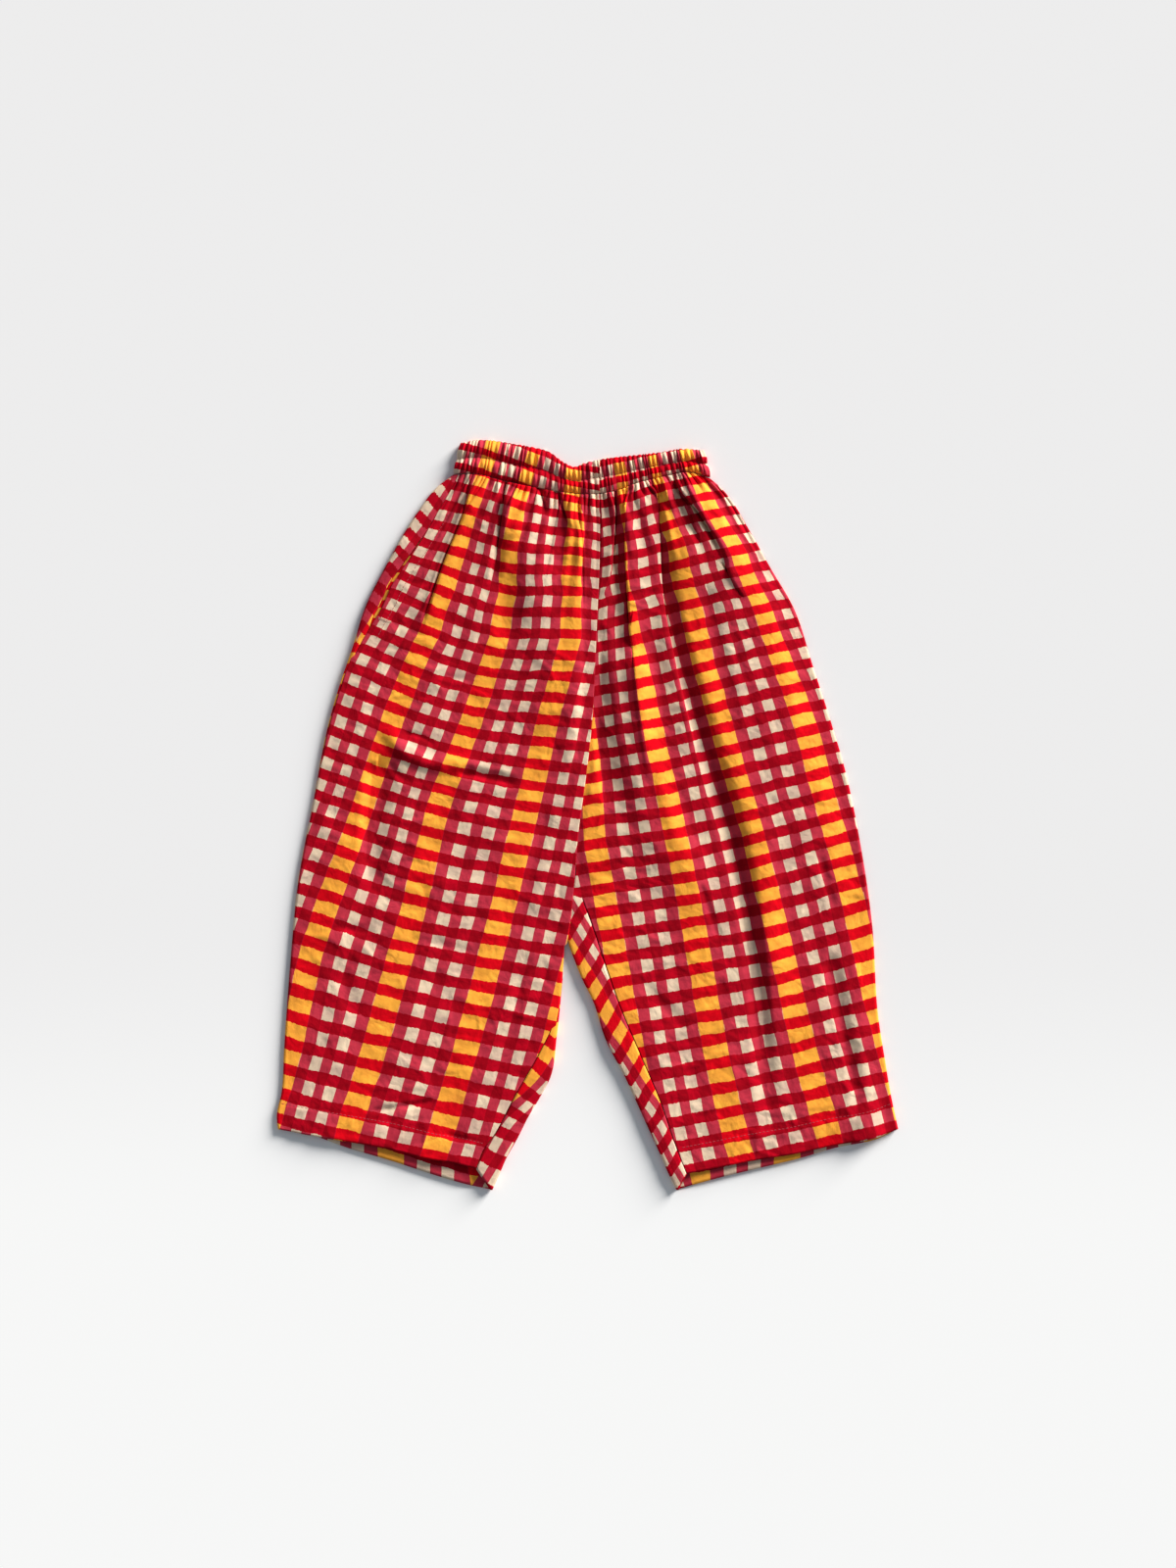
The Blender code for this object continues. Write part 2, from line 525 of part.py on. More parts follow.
def back_panel(leg, waist_start, waist_end, cloth):
    """One back: it lies underneath, and its edges roll over to the seams on top."""
    def outer(v):
        return leg.corner(v, "outer") - (0.0, (BACK_WAIST_GAP - SEAM_GAP) * (1.0 - v))

    def inner(v):
        return leg.corner(v, "inner") - (0.0, (BACK_WAIST_GAP - SEAM_GAP) * (1.0 - v))

    plan = panel_plan(outer, inner, leg.waist(waist_start, waist_end, BACK_WAIST_GAP), leg.back_hem)
    middle, normal = [], []
    for v in leg.rows:
        step = (EDGE_ROLL + FLAT_RUN) / np.linalg.norm(inner(v) - outer(v))
        near_outer, near_inner = plan(np.array((step, 1.0 - step)), v)
        inner_side, inner_normals = rolled_side(leg, v, "inner", near_inner)
        outer_side, outer_normals = rolled_side(leg, v, "outer", near_outer)
        if leg.side == "left":
            outer_side, outer_normals = outer_side[[0, -1]], outer_normals[[0, -1]]
        under = plan(np.linspace(1.0 - step, step, UNDER_COLUMNS + 2)[1:-1], v)
        under = np.column_stack([under, np.full(len(under), BOTTOM_LEVEL)])
        down = np.tile((0.0, 0.0, -1.0), (len(under), 1))
        middle.append(np.concatenate((inner_side[::-1], under, outer_side)))
        normal.append(np.concatenate((inner_normals[::-1], down, outer_normals)))
    outside, inside = walls(np.array(middle), np.array(normal), leg.rows)
    return sheet_solid("back_" + leg.side, outside, inside, len(leg.rows), cloth)


def pocket_facing(leg, cloth):
    """The strip that shows in the side pocket's mouth and runs in under the front."""
    rows = []
    for v in leg.rows:
        seam = leg.seam(v, "outer")
        if mouth(seam[1]) < FULLY_OPEN:
            continue
        row = np.full((FACING_COLUMNS, 3), TOP_LEVEL)
        row[:, 0] = seam[0] - POCKET_OPEN + SEAM_GAP + np.linspace(0.0, FACING_WIDTH, FACING_COLUMNS)
        row[:, 1] = seam[1]
        rows.append(row)
    middle = np.array(rows)
    half = np.array((0.0, 0.0, 0.5 * CLOTH_WALL))
    return sheet_solid("pocket_facing", middle + half, middle - half, len(rows), cloth)


def waistband(cloth):
    """The casing: a flattened ring with two puffed elastic channels, gathered in front."""
    top, low = smooth_curve(WAIST_TOP), smooth_curve(WAIST_LOW)
    width = abs(low(1.0)[0] - low(0.0)[0])
    waves = round(width / GATHER_PITCH)
    end = BAND_ROLL / width
    loop = []                       # (fraction across, height, outward across, outward up, gather)
    for k in range(2 * waves + 1):
        loop.append((end + (1 - 2 * end) * k / (2 * waves), BAND_LEVEL, 0.0, 1.0, (-1) ** k))
    for side in (1, -1):
        for k in range(1, BAND_END_COLUMNS):
            angle = math.pi * k / BAND_END_COLUMNS
            out_x, out_z = side * math.sin(angle), side * math.cos(angle)
            place = (1 - end if side > 0 else end) + end * out_x
            loop.append((place, 0.5 * BAND_WALL + BAND_ROLL * (1 + out_z), out_x, out_z, 0.0))
        if side > 0:
            for k in range(BAND_BACK_COLUMNS + 1):
                place = 1 - end - (1 - 2 * end) * k / BAND_BACK_COLUMNS
                loop.append((place, 0.5 * BAND_WALL, 0.0, -1.0, 0.0))
    points, rows = [], []
    for q in (*BAND_ROWS, BAND_ROWS[-1], BAND_ROWS[0]):
        inside = len(rows) >= len(BAND_ROWS)
        channel = q / BAND_STITCH if q < BAND_STITCH else (q - BAND_STITCH) / (1 - BAND_STITCH)
        puff = BAND_PUFF * math.sin(math.pi * min(channel, 1.0)) ** PUFF_ROUND
        row = []
        for across, height, out_x, out_z, gather in loop:
            place = (1 - q) * top(across) + q * low(across)
            reach = 0.5 * BAND_WALL
            if inside:
                reach = -reach
            elif out_z > 0.0:
                reach += puff * out_z + 0.5 * GATHER_HEIGHT * gather
            row.append(len(points))
            points.append((place[0] + out_x * reach, place[1], height + out_z * reach))
        rows.append(row + row[:1])
    faces = []
    for upper, lower in zip(rows, rows[1:] + rows[:1]):
        faces += strip_faces(upper, lower)
    return add_solid("waistband", points, faces, cloth)


# ---- the garment ----------------------------------------------------------------

def clear_scene():
    for old in list(bpy.data.objects):
        bpy.data.objects.remove(old, do_unlink=True)


def trousers():
    fronts = cotton("front cotton", COLOURS["front"])
    backs = cotton("back cotton", COLOURS["back"])
    right, left = Leg("right"), Leg("left")
    front_panel(right, SIDE_AT_WAIST, CENTRE_AT_WAIST, fronts)
    front_panel(left, 1.0, CENTRE_AT_WAIST, fronts)
    back_panel(right, 0.0, BACK_CENTRE_AT_WAIST, backs)
    back_panel(left, 1.0, BACK_CENTRE_AT_WAIST, backs)
    pocket_facing(right, cotton("facing cotton", COLOURS["facing"]))
    waistband(cotton("waistband cotton", COLOURS["waistband"]))


clear_scene()
trousers()
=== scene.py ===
"""Looks of the wide-leg trousers: block-printed cotton laid flat on its back panels.

Lengths are in millimetres until a mesh is written. Places called photo are pixels of the
1200 x 1600 photograph, and photo() turns them into plan millimetres. Where a function
takes v, it is the share of the way down the leg; an edge is "outer" or "inner".
"""
import math

import bpy
import numpy as np
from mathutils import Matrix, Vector


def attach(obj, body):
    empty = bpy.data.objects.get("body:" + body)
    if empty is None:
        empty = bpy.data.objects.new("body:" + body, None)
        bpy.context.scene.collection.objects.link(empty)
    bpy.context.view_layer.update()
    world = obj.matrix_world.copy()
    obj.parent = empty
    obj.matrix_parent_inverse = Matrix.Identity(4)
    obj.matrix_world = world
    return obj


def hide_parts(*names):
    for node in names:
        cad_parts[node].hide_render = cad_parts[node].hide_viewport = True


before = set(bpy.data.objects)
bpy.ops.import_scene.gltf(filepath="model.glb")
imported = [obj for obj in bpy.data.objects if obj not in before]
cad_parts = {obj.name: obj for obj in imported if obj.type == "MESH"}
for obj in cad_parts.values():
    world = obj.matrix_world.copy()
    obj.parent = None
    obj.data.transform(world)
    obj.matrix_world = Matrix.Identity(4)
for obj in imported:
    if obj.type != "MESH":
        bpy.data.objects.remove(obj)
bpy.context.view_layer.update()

METRES_PER_MM = 0.001
TO_ORIGIN = np.array((-0.5, -0.6, 0.0))       # as in the solids
PIXEL = 0.8                                   # millimetres of garment to a photo pixel
PHOTO_MIDDLE = np.array((599.5, 832.5))       # the pixel of the outline's middle
PHOTO_SIZE = (1200, 1600)

# ---- the garment's sizes, as in the solids ---------------------------------------

CLOTH_WALL = 1.0
HEM_DEPTH = 22.0
LEG_LENGTH = 575.0
HEM_LINE = 1.0 - HEM_DEPTH / LEG_LENGTH
SEAM_GAP = 0.3
LEG_SEAM_GAP = 0.6
EDGE_ROLL = 1.3               # radius of the cloth's turn round an edge
FLAT_RUN = 7.0                # cloth drawn under the edge before the turn
SEAM_ANGLE = 0.36             # how far the front starts round the roll from the back
BOTTOM_LEVEL = 0.5            # middle of the wall underneath, and on top
TOP_LEVEL = BOTTOM_LEVEL + 2.0 * EDGE_ROLL
LOWEST_RISE = -2.0            # the deepest that a trough goes below the top level
WAIST_EASE = 18.0             # the folds come up over this distance below the waistband
SEAM_FLAT = {("right", "outer"): 42.0, ("right", "inner"): 26.0,
             ("left", "outer"): 28.0, ("left", "inner"): 40.0}
LAP_DROP = {"right": 0.0, "left": 1.4}        # the left front runs under the right's edge
CENTRE_SHELF = {"right": 2.0, "left": 1.5}
CENTRE_BLEND = {"right": 16.0, "left": 7.0}
CENTRE_FADE = {"right": 23.0, "left": 15.0}
LEG_TOP = {"right": -105.0, "left": -45.0}    # where each front leaves the centre seam
HEM_CORNER_START = -200.0
HEM_CORNER_FADE = 87.0

BAND_WALL = 2.0
BAND_ROLL = 2.0
BAND_LINING = 0.2             # the inner face, in from the middle of the wall
BAND_PUFF = 1.9
BAND_NIP = 0.9                # how far the stitch lines pull in
BAND_EDGE_NIP = 0.7
BAND_STITCH = 0.52            # the line between the two channels, down the waistband
BAND_LUMPS = 0.35
BAND_RIPPLE = 0.35            # the gathers' ripple in the top edge
GATHERS = 54
GATHER_HEIGHT = 2.4
GATHER_SPREAD = (0.5, 1.5)    # least and most, for each one's spacing and height
GATHER_REACH = (14.0, 44.0)   # how far down each one runs
GATHER_SWELL = (0.6, 8.0, 7.0)                # share, place and reach of their swell below
LONG_GATHER = 1.25
LONG_GATHER_RISE = 9.0
LONG_GATHER_FALL = 10.0
WAIST_START = {"right": 0.0135, "left": 1.0}  # the side seams, as shares of the waist
CENTRE_AT_WAIST = 0.566
BACK_CENTRE_AT_WAIST = 0.534
BACK_WAIST_GAP = 0.8

POCKET_TOP = 236.0
POCKET_BOTTOM = 150.0
POCKET_EASE = 14.0
POCKET_TOP_EASE = 44.0
POCKET_OPEN = 3.0
POCKET_LIFT = 0.4
POCKET_LIFT_FADE = 15.0
POCKET_STITCH = 9.5           # topstitch, in from the pocket's edge
POCKET_STITCH_ENDS = (6.0, 12.0)              # below and above the mouth
FACING_LEVEL = 1.0
FACING_WIDTH = 11.0
FACING_SHOWS = 0.05           # the least opening of the mouth that has a facing behind it
FACING_WAVE = 0.25

WAIST_TOP = ((-102.5, 304), (-92, 306), (-79, 306), (-63, 303.5), (-48, 301), (-31, 296.5), (-20, 288.5),
             (-11, 284.5), (-2, 287.5), (17, 291.5), (40, 294), (61, 296.5), (76, 299), (94, 298))
WAIST_LOW = ((-108, 279), (-90, 279), (-67, 273), (-45, 268.5), (-20, 264), (-5, 262.5), (10, 263),
             (25, 265.5), (40, 271), (63, 277), (86, 280), (99, 276))
OUTLINE = {
    "right": ((-108, 279), (-123, 267.5), (-136.5, 250), (-147, 234), (-165, 202), (-181, 170), (-191, 138),
        (-202, 106), (-211, 74), (-223.5, 10), (-235.5, -54), (-242, -120), (-247, -190), (-249, -225),
        (-253, -246), (-252, -255.5)),
    "left": ((99, 275.5), (108.5, 267.5), (116.5, 258), (131, 234), (149, 202), (167.5, 170), (183.5, 122),
        (199, 74), (208.5, 42), (222, -22), (231.5, -86), (237, -166), (242, -198), (247.5, -230),
        (253, -255.5)),
}
SIDE_SEAM = {
    "right": ((-105.2, 278.3), (-109, 270), (-119.5, 252), (-129, 235.5), (-139, 219.5), (-151, 201),
        (-160, 187), (-167, 171), (-176, 155.5), (-184, 142), (-195, 119), (-209.5, 72), (-222.5, 10),
        (-235, -54)) + OUTLINE["right"][-5:],
    "left": OUTLINE["left"],
}
FRONT_INNER = {
    "right": ((10, 262.6), (10, 218), (7.5, 154), (3, 68.5), (-2, 26), (-7.5, -14), (-11, -58), (-15, -94),
        (-19.5, -118), (-22, -142), (-24.5, -160), (-30, -174), (-40.5, -195), (-60.5, -230), (-77, -261),
        (-85, -272), (-91, -287.5)),
    "left": ((8.5, 262.4), (8.5, 218), (6, 154), (1.5, 68.5), (-3.5, 26), (-9, -14), (-9.4, -43), (-3, -70),
        (3, -86), (15, -122), (27.5, -157), (43.5, -195), (60.5, -235), (70, -263), (75.5, -278),
        (81, -291.5)),
}
BACK_INNER = {
    "right": ((3, 264), (0, 150), (-4, 50), (-10.6, -45), (-18, -80), (-18.5, -102), (-20, -118),
        (-21, -134), (-22.5, -152), (-25.5, -180), (-31, -214), (-39.5, -230), (-49, -246), (-57, -262),
        (-67, -280), (-73, -294), (-78, -305)),
    "left": ((3.4, 264), (0.4, 150), (-3.6, 50), (-9.4, -45), (-15.6, -80), (-15.5, -102), (-10, -118),
        (-3.5, -134), (4.5, -150), (15, -182), (31.5, -214), (46, -246), (60.5, -278), (67.5, -294),
        (73, -305)),
}
FRONT_HEM = {
    "right": ((-252, -255.5), (-223.5, -261), (-187, -267), (-158, -272.5), (-132.5, -279), (-106, -283.5),
        (-91, -287.5)),
    "left": ((253, -255.5), (235.5, -262), (201, -268.5), (171.5, -275), (135, -281), (104.5, -287),
        (81, -291.5)),
}
BACK_HEM = {
    "right": ((-252, -255.5), (-223, -261), (-198, -270), (-161, -281), (-124.5, -293), (-97, -301),
        (-78, -305)),
    "left": ((253, -255.5), (240.5, -262), (201, -271), (174, -279), (135, -288.5), (100.5, -297),
        (73, -305)),
}
TURNS = {                     # (height, share of the half turn that the back's edge has made)
    ("right", "outer"): ((130, 1.0), (90, 0.8), (20, 0.55), (-60, 0.35), (-120, 0.0)),
    ("right", "inner"): ((LEG_TOP["right"], 0.0), (-130, 0.35), (-152, 0.65), (-172, 1.0)),
    ("left", "outer"): ((0, 0.0), (1, 0.0)),
    ("left", "inner"): ((LEG_TOP["left"], 0.0), (-66, 1.0)),
}
# how far the fronts stand up: (height along +Y, millimetres)
LOFT = ((265, 2.2), (215, 2.9), (150, 2.4), (60, 1.7), (-40, 1.2), (-150, 0.9), (-225, 1.0), (-290, 2.2))
CENTRE_LOFT = ((265, 2.0), (218, 3.0), (154, 3.0), (68, 2.5), (0, 1.9), (-45, 1.6), (-100, 1.5),
               (-128, 0.0), (-300, 0.0))

# ---- folds, along photo pixels -------------------------------------------------------
# name: path, height at its start and end, width of its left and right side (negative
# heights are troughs), and any lean: the crest moves right by this share of its height.

RIGHT_FOLDS = {
    "side slit": (((479, 493), (478, 516), (473.5, 531), (456, 574), (442, 614), (430, 646)),
        -6.5, -3.0, 3.6, 2.4),
    "middle slit": (((516.5, 492), (516, 511), (513.5, 529), (511, 542), (506.5, 565)),
        -6.5, -3.5, 3.8, 2.4),
    "swell slit": (((549, 494), (553, 506), (558, 522)), -4.4, -1.5, 2.8, 2.6),
    "centre slit": (((566, 493), (571, 508), (576, 524), (584, 545)), -5.2, -1.5, 2.8, 2.2),
    "centre edge": (((588, 506), (591.5, 540), (593.5, 580), (594, 640)), -2.2, -0.8, 2.4, 2.4),
    "side pleat": (((483, 490), (482, 516), (477, 531), (459, 574), (444, 614), (422, 665)),
        4.8, 0.9, 11, 20, -0.9),
    "pleat left of the middle": (((509, 500), (508, 540), (503, 565), (496, 590), (490, 612)),
        2.2, 0.4, 24, 5, 0.6),
    "dark slit by it": (((510, 520), (510, 552), (507, 580), (503, 606)), -2.6, -1.6, 7, 8),
    "middle pleat": (((522, 492), (520, 515), (516, 540), (512, 575), (505, 620)), 4.0, 0.6, 8, 17, -0.6),
    "dark slit by the swell": (((549, 497), (555, 512), (560, 532)), -2.6, -0.8, 5, 6),
    "slit by the centre": (((572, 492), (576, 508), (582, 528), (586, 545)), 2.2, 0.5, 4, 10, -0.9),
    "centre pleat": (((588, 496), (590, 560), (591, 640), (589, 690), (584, 760), (566, 832)),
        1.9, 0.6, 16, 7, 0.5),
    "front swell": (((530, 512), (532, 556), (548, 596), (562, 650), (566, 720), (556, 800)),
        3.2, 1.2, 42, 40),
    "soft hollow": (((512, 560), (518, 620), (520, 668)), -2.2, -1.2, 14, 20),
    "knee hollow": (((384, 790), (378, 857), (382, 930)), -3.2, -2.0, 12, 20),
    "thigh ridge": (((392, 744), (418, 771), (456, 782), (500, 777)), 3.0, 1.4, 9, 12),
    "thigh crease above": (((412, 747), (430, 752), (447, 761)), -1.0, -0.5, 3, 3),
    "thigh crease below": (((396, 776), (406, 791), (422, 802)), -1.2, -0.6, 4, 6),
    "long crease": (((466, 787), (490, 792), (534, 801)), -2.8, -1.4, 4, 13),
    "long crease ridge": (((458, 777), (492, 783), (536, 792)), 1.4, 0.8, 9, 5),
    "hip crease": (((446, 690), (462, 692), (482, 696)), -0.8, -0.4, 3, 4),
    "press line": (((338, 944), (362, 949), (388, 956)), -0.9, -0.5, 4, 7),
    "press line inner": (((426, 959), (458, 966), (494, 976)), -0.6, -0.4, 4, 7),
    "shin hollow": (((352, 1000), (356, 1020), (372, 1038)), -1.2, -0.6, 10, 12),
    "shin ridge": (((330, 1062), (352, 1052), (376, 1046)), 0.8, 0.3, 7, 9),
    "crease over the hem": (((376, 1133), (408, 1128), (450, 1121)), -1.2, -1.3, 6, 2.5),
    "hem crease": (((452, 1157), (480, 1164), (520, 1171)), -1.2, -0.9, 3, 5),
    "side pucker high": (((340, 716), (360, 714), (392, 718)), -1.0, -0.5, 3, 5),
    "side pucker low": (((338, 738), (356, 741), (378, 747)), -0.7, -0.3, 3, 5),
    "inner leg drag": (((556, 838), (540, 900), (528, 968)), -0.7, -0.4, 8, 9),
    "inner leg drag low": (((534, 980), (524, 1040), (512, 1092)), -0.7, -0.4, 8, 9),
    "hip hollow": (((470, 640), (462, 690), (452, 735)), -0.7, -0.4, 12, 12),
    "calf ridge": (((430, 990), (420, 1050), (408, 1110)), 0.7, 0.3, 14, 14),
}
LEFT_FOLDS = {
    "lap slit": (((627.5, 498), (627.5, 530), (626, 560), (624, 592)), -5.5, -3.0, 1.8, 2.2),
    "pleat slit": (((640, 520), (640.5, 560), (641, 600), (643, 650)), -5.0, -2.5, 3.2, 2.0),
    "dark pocket": (((632, 572), (633, 586), (634, 604)), -4.0, -2.0, 7, 6),
    "valley slit": (((668.5, 512), (670.5, 560), (673, 595), (677.5, 630), (684, 660)),
        -5.0, -2.0, 2.4, 3.6),
    "high slit": (((691, 495), (699.5, 507), (709.5, 520), (721.5, 539), (731, 556), (739, 572)),
        -6.5, -2.5, 3.8, 2.4),
    "side slit": (((738, 577), (748, 592), (759, 612)), -3.0, -1.5, 2.2, 1.8),
    "centre lap": (((623.5, 500), (623.5, 530), (622, 560), (619, 590), (613, 606), (608, 620)),
        2.0, 1.0, 12, 4, 0.9),
    "deep valley": (((634, 552), (632, 590), (630, 640), (636, 700), (644, 760), (652, 815)),
        -1.4, -0.8, 9, 10),
    "narrow pleat": (((634, 495), (635, 520), (636, 552)), 3.4, 1.0, 4, 5),
    "shoulder hollow": (((603, 668), (605, 705), (611, 760), (622, 835)), -1.8, -2.4, 6, 28),
    "leaning pleat": (((645, 494), (645.5, 586), (647, 618), (649.5, 653), (652, 690)),
        5.2, 1.4, 6, 17, -0.9),
    "leaning pleat below": (((650, 640), (652, 690), (658, 746), (668, 812)), 1.8, 0.8, 6, 16, -0.9),
    "shadowed shoulder": (((646, 684), (648, 710), (654, 752), (666, 802), (684, 852), (708, 902),
        (742, 955)), 4.6, 1.8, 38, 22),
    "broad slope": (((716, 560), (756, 700), (790, 850), (806, 950)), 3.4, 1.6, 26, 110),
    "pleat over the valley": (((664, 500), (667, 540), (669, 585), (673, 620), (680, 655), (690, 700),
        (701, 742), (714, 790)), 3.2, 0.8, 15, 3.5, 1.1),
    "long valley": (((669, 505), (676, 590), (687, 650), (704, 704), (719, 760), (735, 820), (755, 890),
        (765, 940), (774, 1015), (781, 1100), (790, 1190)), -1.6, -3.4, 12, 12),
    "long pleat": (((680, 497), (690, 560), (706, 640), (728, 720), (752, 795), (776, 895), (789, 1007),
        (794, 1101)), 3.4, 2.8, 14, 22, -0.3),
    "high valley": (((690, 494), (696, 520), (703, 548)), -3.0, -1.0, 8, 12),
    "outer valley": (((722, 610), (736, 690), (752, 780)), -1.0, -0.6, 10, 13),
    "high pleat": (((694, 490), (706, 504), (717, 517), (730, 537), (745, 566), (758, 612)),
        3.8, 1.2, 7, 16, -0.8),
    "hip pleat": (((714, 497), (740, 530), (766, 588)), 1.2, 0.5, 6, 12, -0.4),
    "side crease": (((745, 583), (752, 596), (760, 612)), 1.2, 0.8, 3, 8, -0.9),
    "pleat at the valley's top": (((655, 494), (658, 508), (661, 522)), 1.8, 0.4, 4, 5, -0.5),
    "upper slit": (((678, 492), (684, 506), (690, 522)), 1.9, 0.4, 4, 6, -0.7),
    "valley floor shade": (((612, 676), (613, 700), (622, 726)), -1.2, -0.9, 6, 8),
    "shin hollow": (((664, 800), (676, 848), (692, 895)), -1.1, -0.5, 10, 11),
    "knee crease": (((716, 908), (726, 935), (738, 968)), -0.8, -0.5, 5, 5),
    "side fold": (((838, 880), (846, 912), (856, 936)), -0.7, -0.4, 5, 6),
    "side drag": (((846, 985), (858, 1035), (872, 1100), (878, 1150)), -1.6, -2.0, 9, 12),
    "hem corner swell": (((880, 1010), (888, 1070), (895, 1140), (899, 1230)), 1.6, 3.4, 30, 10),
    "side drag ridge": (((872, 985), (880, 1035), (886, 1080)), 0.8, 0.4, 7, 7),
    "inner drag": (((655, 1004), (676, 1026), (704, 1054)), -0.9, -0.5, 8, 8),
    "inner drag ridge": (((650, 1040), (672, 1082), (700, 1130)), 1.0, 0.7, 10, 20),
    "press line": (((620, 962), (650, 956), (690, 950)), -0.5, -0.3, 4, 6),
    "hem pucker": (((705, 1142), (722, 1136), (742, 1133)), -0.7, -0.4, 4, 4),
    "thigh drag": (((800, 640), (815, 700), (826, 760)), -0.6, -0.3, 9, 9),
    "front drag": (((745, 640), (760, 700), (772, 760)), -0.5, -0.3, 8, 8),
}
FOLDS = {"right": RIGHT_FOLDS, "left": LEFT_FOLDS}
FOLD_STEPS = 16
FOLD_END = 0.27               # a fold fades over this share of its path
FOLD_AT_WAIST = 0.45          # share of its height that a fold has at the waistband
FOLD_GAIN = 1.4               # the folds stand a little higher than in the solids
CRUMPLE = 1.35
CRUMPLE_SHARES = (0.55, 0.28, 0.42, 0.14)     # of soft, middling, sharp and fine relief
CALM_EDGE = 9.0               # no crumple at a seam, all of it this far in
CALM_WAIST = 40.0
HEM_STEP = 0.3                # the turned-up hem is thicker
HEM_GROOVE = 0.35             # depth and half width of the line that its stitches pull in
HEM_GROOVE_WIDTH = 0.9
HEM_PUCKER = 0.25             # height, size and reach of the hem's puckers
HEM_PUCKER_SIZE = 5.0
HEM_PUCKER_REACH = 9.0

# ---- the check -----------------------------------------------------------------------

REPEAT = 73.6                 # from one orange stripe to the next
ROW = 20.0                    # from one red row to the next
ORANGE_HALF = 0.147           # half the orange stripe, as a share of the repeat
CREAM_STRIPE = (0.293, 0.434) # where the first cream stripe begins and ends
HALO_WIDTH = 0.006
RED_HALF = 0.237              # half a red row, as a share of the row pitch
BAND_RED_HALF = 0.18          # in the waistband, whose gathers hide part of each row

# Where the stripes cross the rows, read from the photo: each stripe's place in
# repeats, then (row, photo x, photo y) down its middle, or down one of its edges.
RIGHT_STRIPES = (
    (1.0, ((0, 503, 455), (2, 491, 492), (4, 477, 531), (7, 457, 594), (10, 434, 654), (13, 409, 714),
        (16, 387, 775), (19, 366, 837), (22, 341, 904), (25, 317, 974), (29, 295, 1078))),
    (2.0, ((0, 544, 468), (2, 531, 506), (4, 522, 547), (6, 518, 591), (8, 511, 635), (11, 495, 696),
        (14, 473, 757), (17, 449, 816), (20, 432, 884), (23, 415, 954), (26, 395, 1023), (29, 373, 1098),
        (31, 357, 1147))),
    (3.0, ((0, 583, 486), (2, 585, 518), (4, 587, 553), (7, 583, 614), (9, 581, 658), (12, 562, 723),
        (15, 546, 791), (18, 531, 855), (21, 514, 923), (24, 496, 994), (27, 476, 1068), (31, 447, 1167))),
    (0.364, ((4, 450, 527), (6, 429, 563), (8, 411, 598), (10, 392, 637), (12, 370, 673))),
    (0.638, ((4, 467, 530), (8, 432, 608), (12, 391, 683))),
)
LEFT_STRIPES = (
    (0.0, ((14, 603, 782), (17, 606, 850), (20, 617, 918), (24, 635, 1014))),
    (1.0, ((0, 634, 479), (1, 636, 500), (13, 667, 749), (16, 682, 816), (19, 696, 884), (22, 709, 952),
        (25, 721, 1024), (28, 735, 1097), (31, 753, 1171))),
    (1.0 + ORANGE_HALF, ((7, 648, 618), (9, 658, 662), (11, 668.5, 706))),
    (2.0, ((0, 666, 471), (2, 674, 508), (4, 687.5, 546), (7, 700.5, 607), (10, 715.5, 670), (13, 733, 733),
        (16, 752, 799), (19, 771, 867), (22, 789, 937), (25, 806, 1008), (28, 822, 1078), (31, 844, 1153))),
    (3.0, ((0, 700, 465), (2, 714, 500), (3, 721.5, 516), (4, 735, 534), (7, 764, 592), (10, 788, 652),
        (13, 812, 713), (16, 832, 779), (19, 850, 845), (22, 869, 914), (26, 890, 1011))),
)
STRIPES = {"right": RIGHT_STRIPES, "left": LEFT_STRIPES}

# Cloth that a pleat hides: its slit's path in the photo, (photo y, hidden mm), and whether
# the cloth turns under to the right (+1) or to the left (-1) of the slit.
RIGHT_SLITS = (
    (((478, 488), (477, 516), (472.5, 531), (455, 574), (441, 614), (424, 652)), ((488, 8), (531, 11),
        (590, 11), (620, 7), (650, 0)), 1),
    (((516.5, 488), (516, 511), (513.5, 529), (511, 542), (506.5, 567), (500, 600)), ((488, 6), (531, 5),
        (560, 8), (590, 4), (605, 0)), 1),
    (((566, 492), (571, 508), (576, 524), (582, 542)), ((490, 3), (520, 4), (545, 0)), 1),
)
LEFT_SLITS = (
    (((626.5, 495), (626.5, 530), (625, 560), (622, 590), (616, 606), (610, 620)), ((495, 12), (530, 15),
        (580, 13), (600, 8), (618, 0)), -1),
    (((639.5, 495), (640.4, 586), (642, 618), (645, 653), (648, 683), (651, 704), (655, 748)), ((495, 2),
        (522, 13), (541, 21), (580, 22), (618, 20), (662, 11), (704, 3), (746, 0)), 1),
    (((668, 500), (669.5, 540), (671.5, 585), (675, 620), (679, 640), (693, 700), (713, 780), (730, 850)),
        ((500, 3), (540, 7), (585, 11), (620, 13), (662, 10), (740, 7), (790, 5), (850, 0)), -1),
    (((689, 491), (699.5, 504), (710, 517), (722.5, 537), (738, 566)), ((491, 6), (520, 9), (545, 4),
        (566, 0)), 1),
)
SLITS = {"right": RIGHT_SLITS, "left": LEFT_SLITS}
SLIT_WIDTH = 2.0
SLIT_STEPS = 60
FIELD_SCALE = 100.0           # millimetres to a unit of the check's smooth field
FIELD_EASE = 0.02             # how far the field may miss a listed place
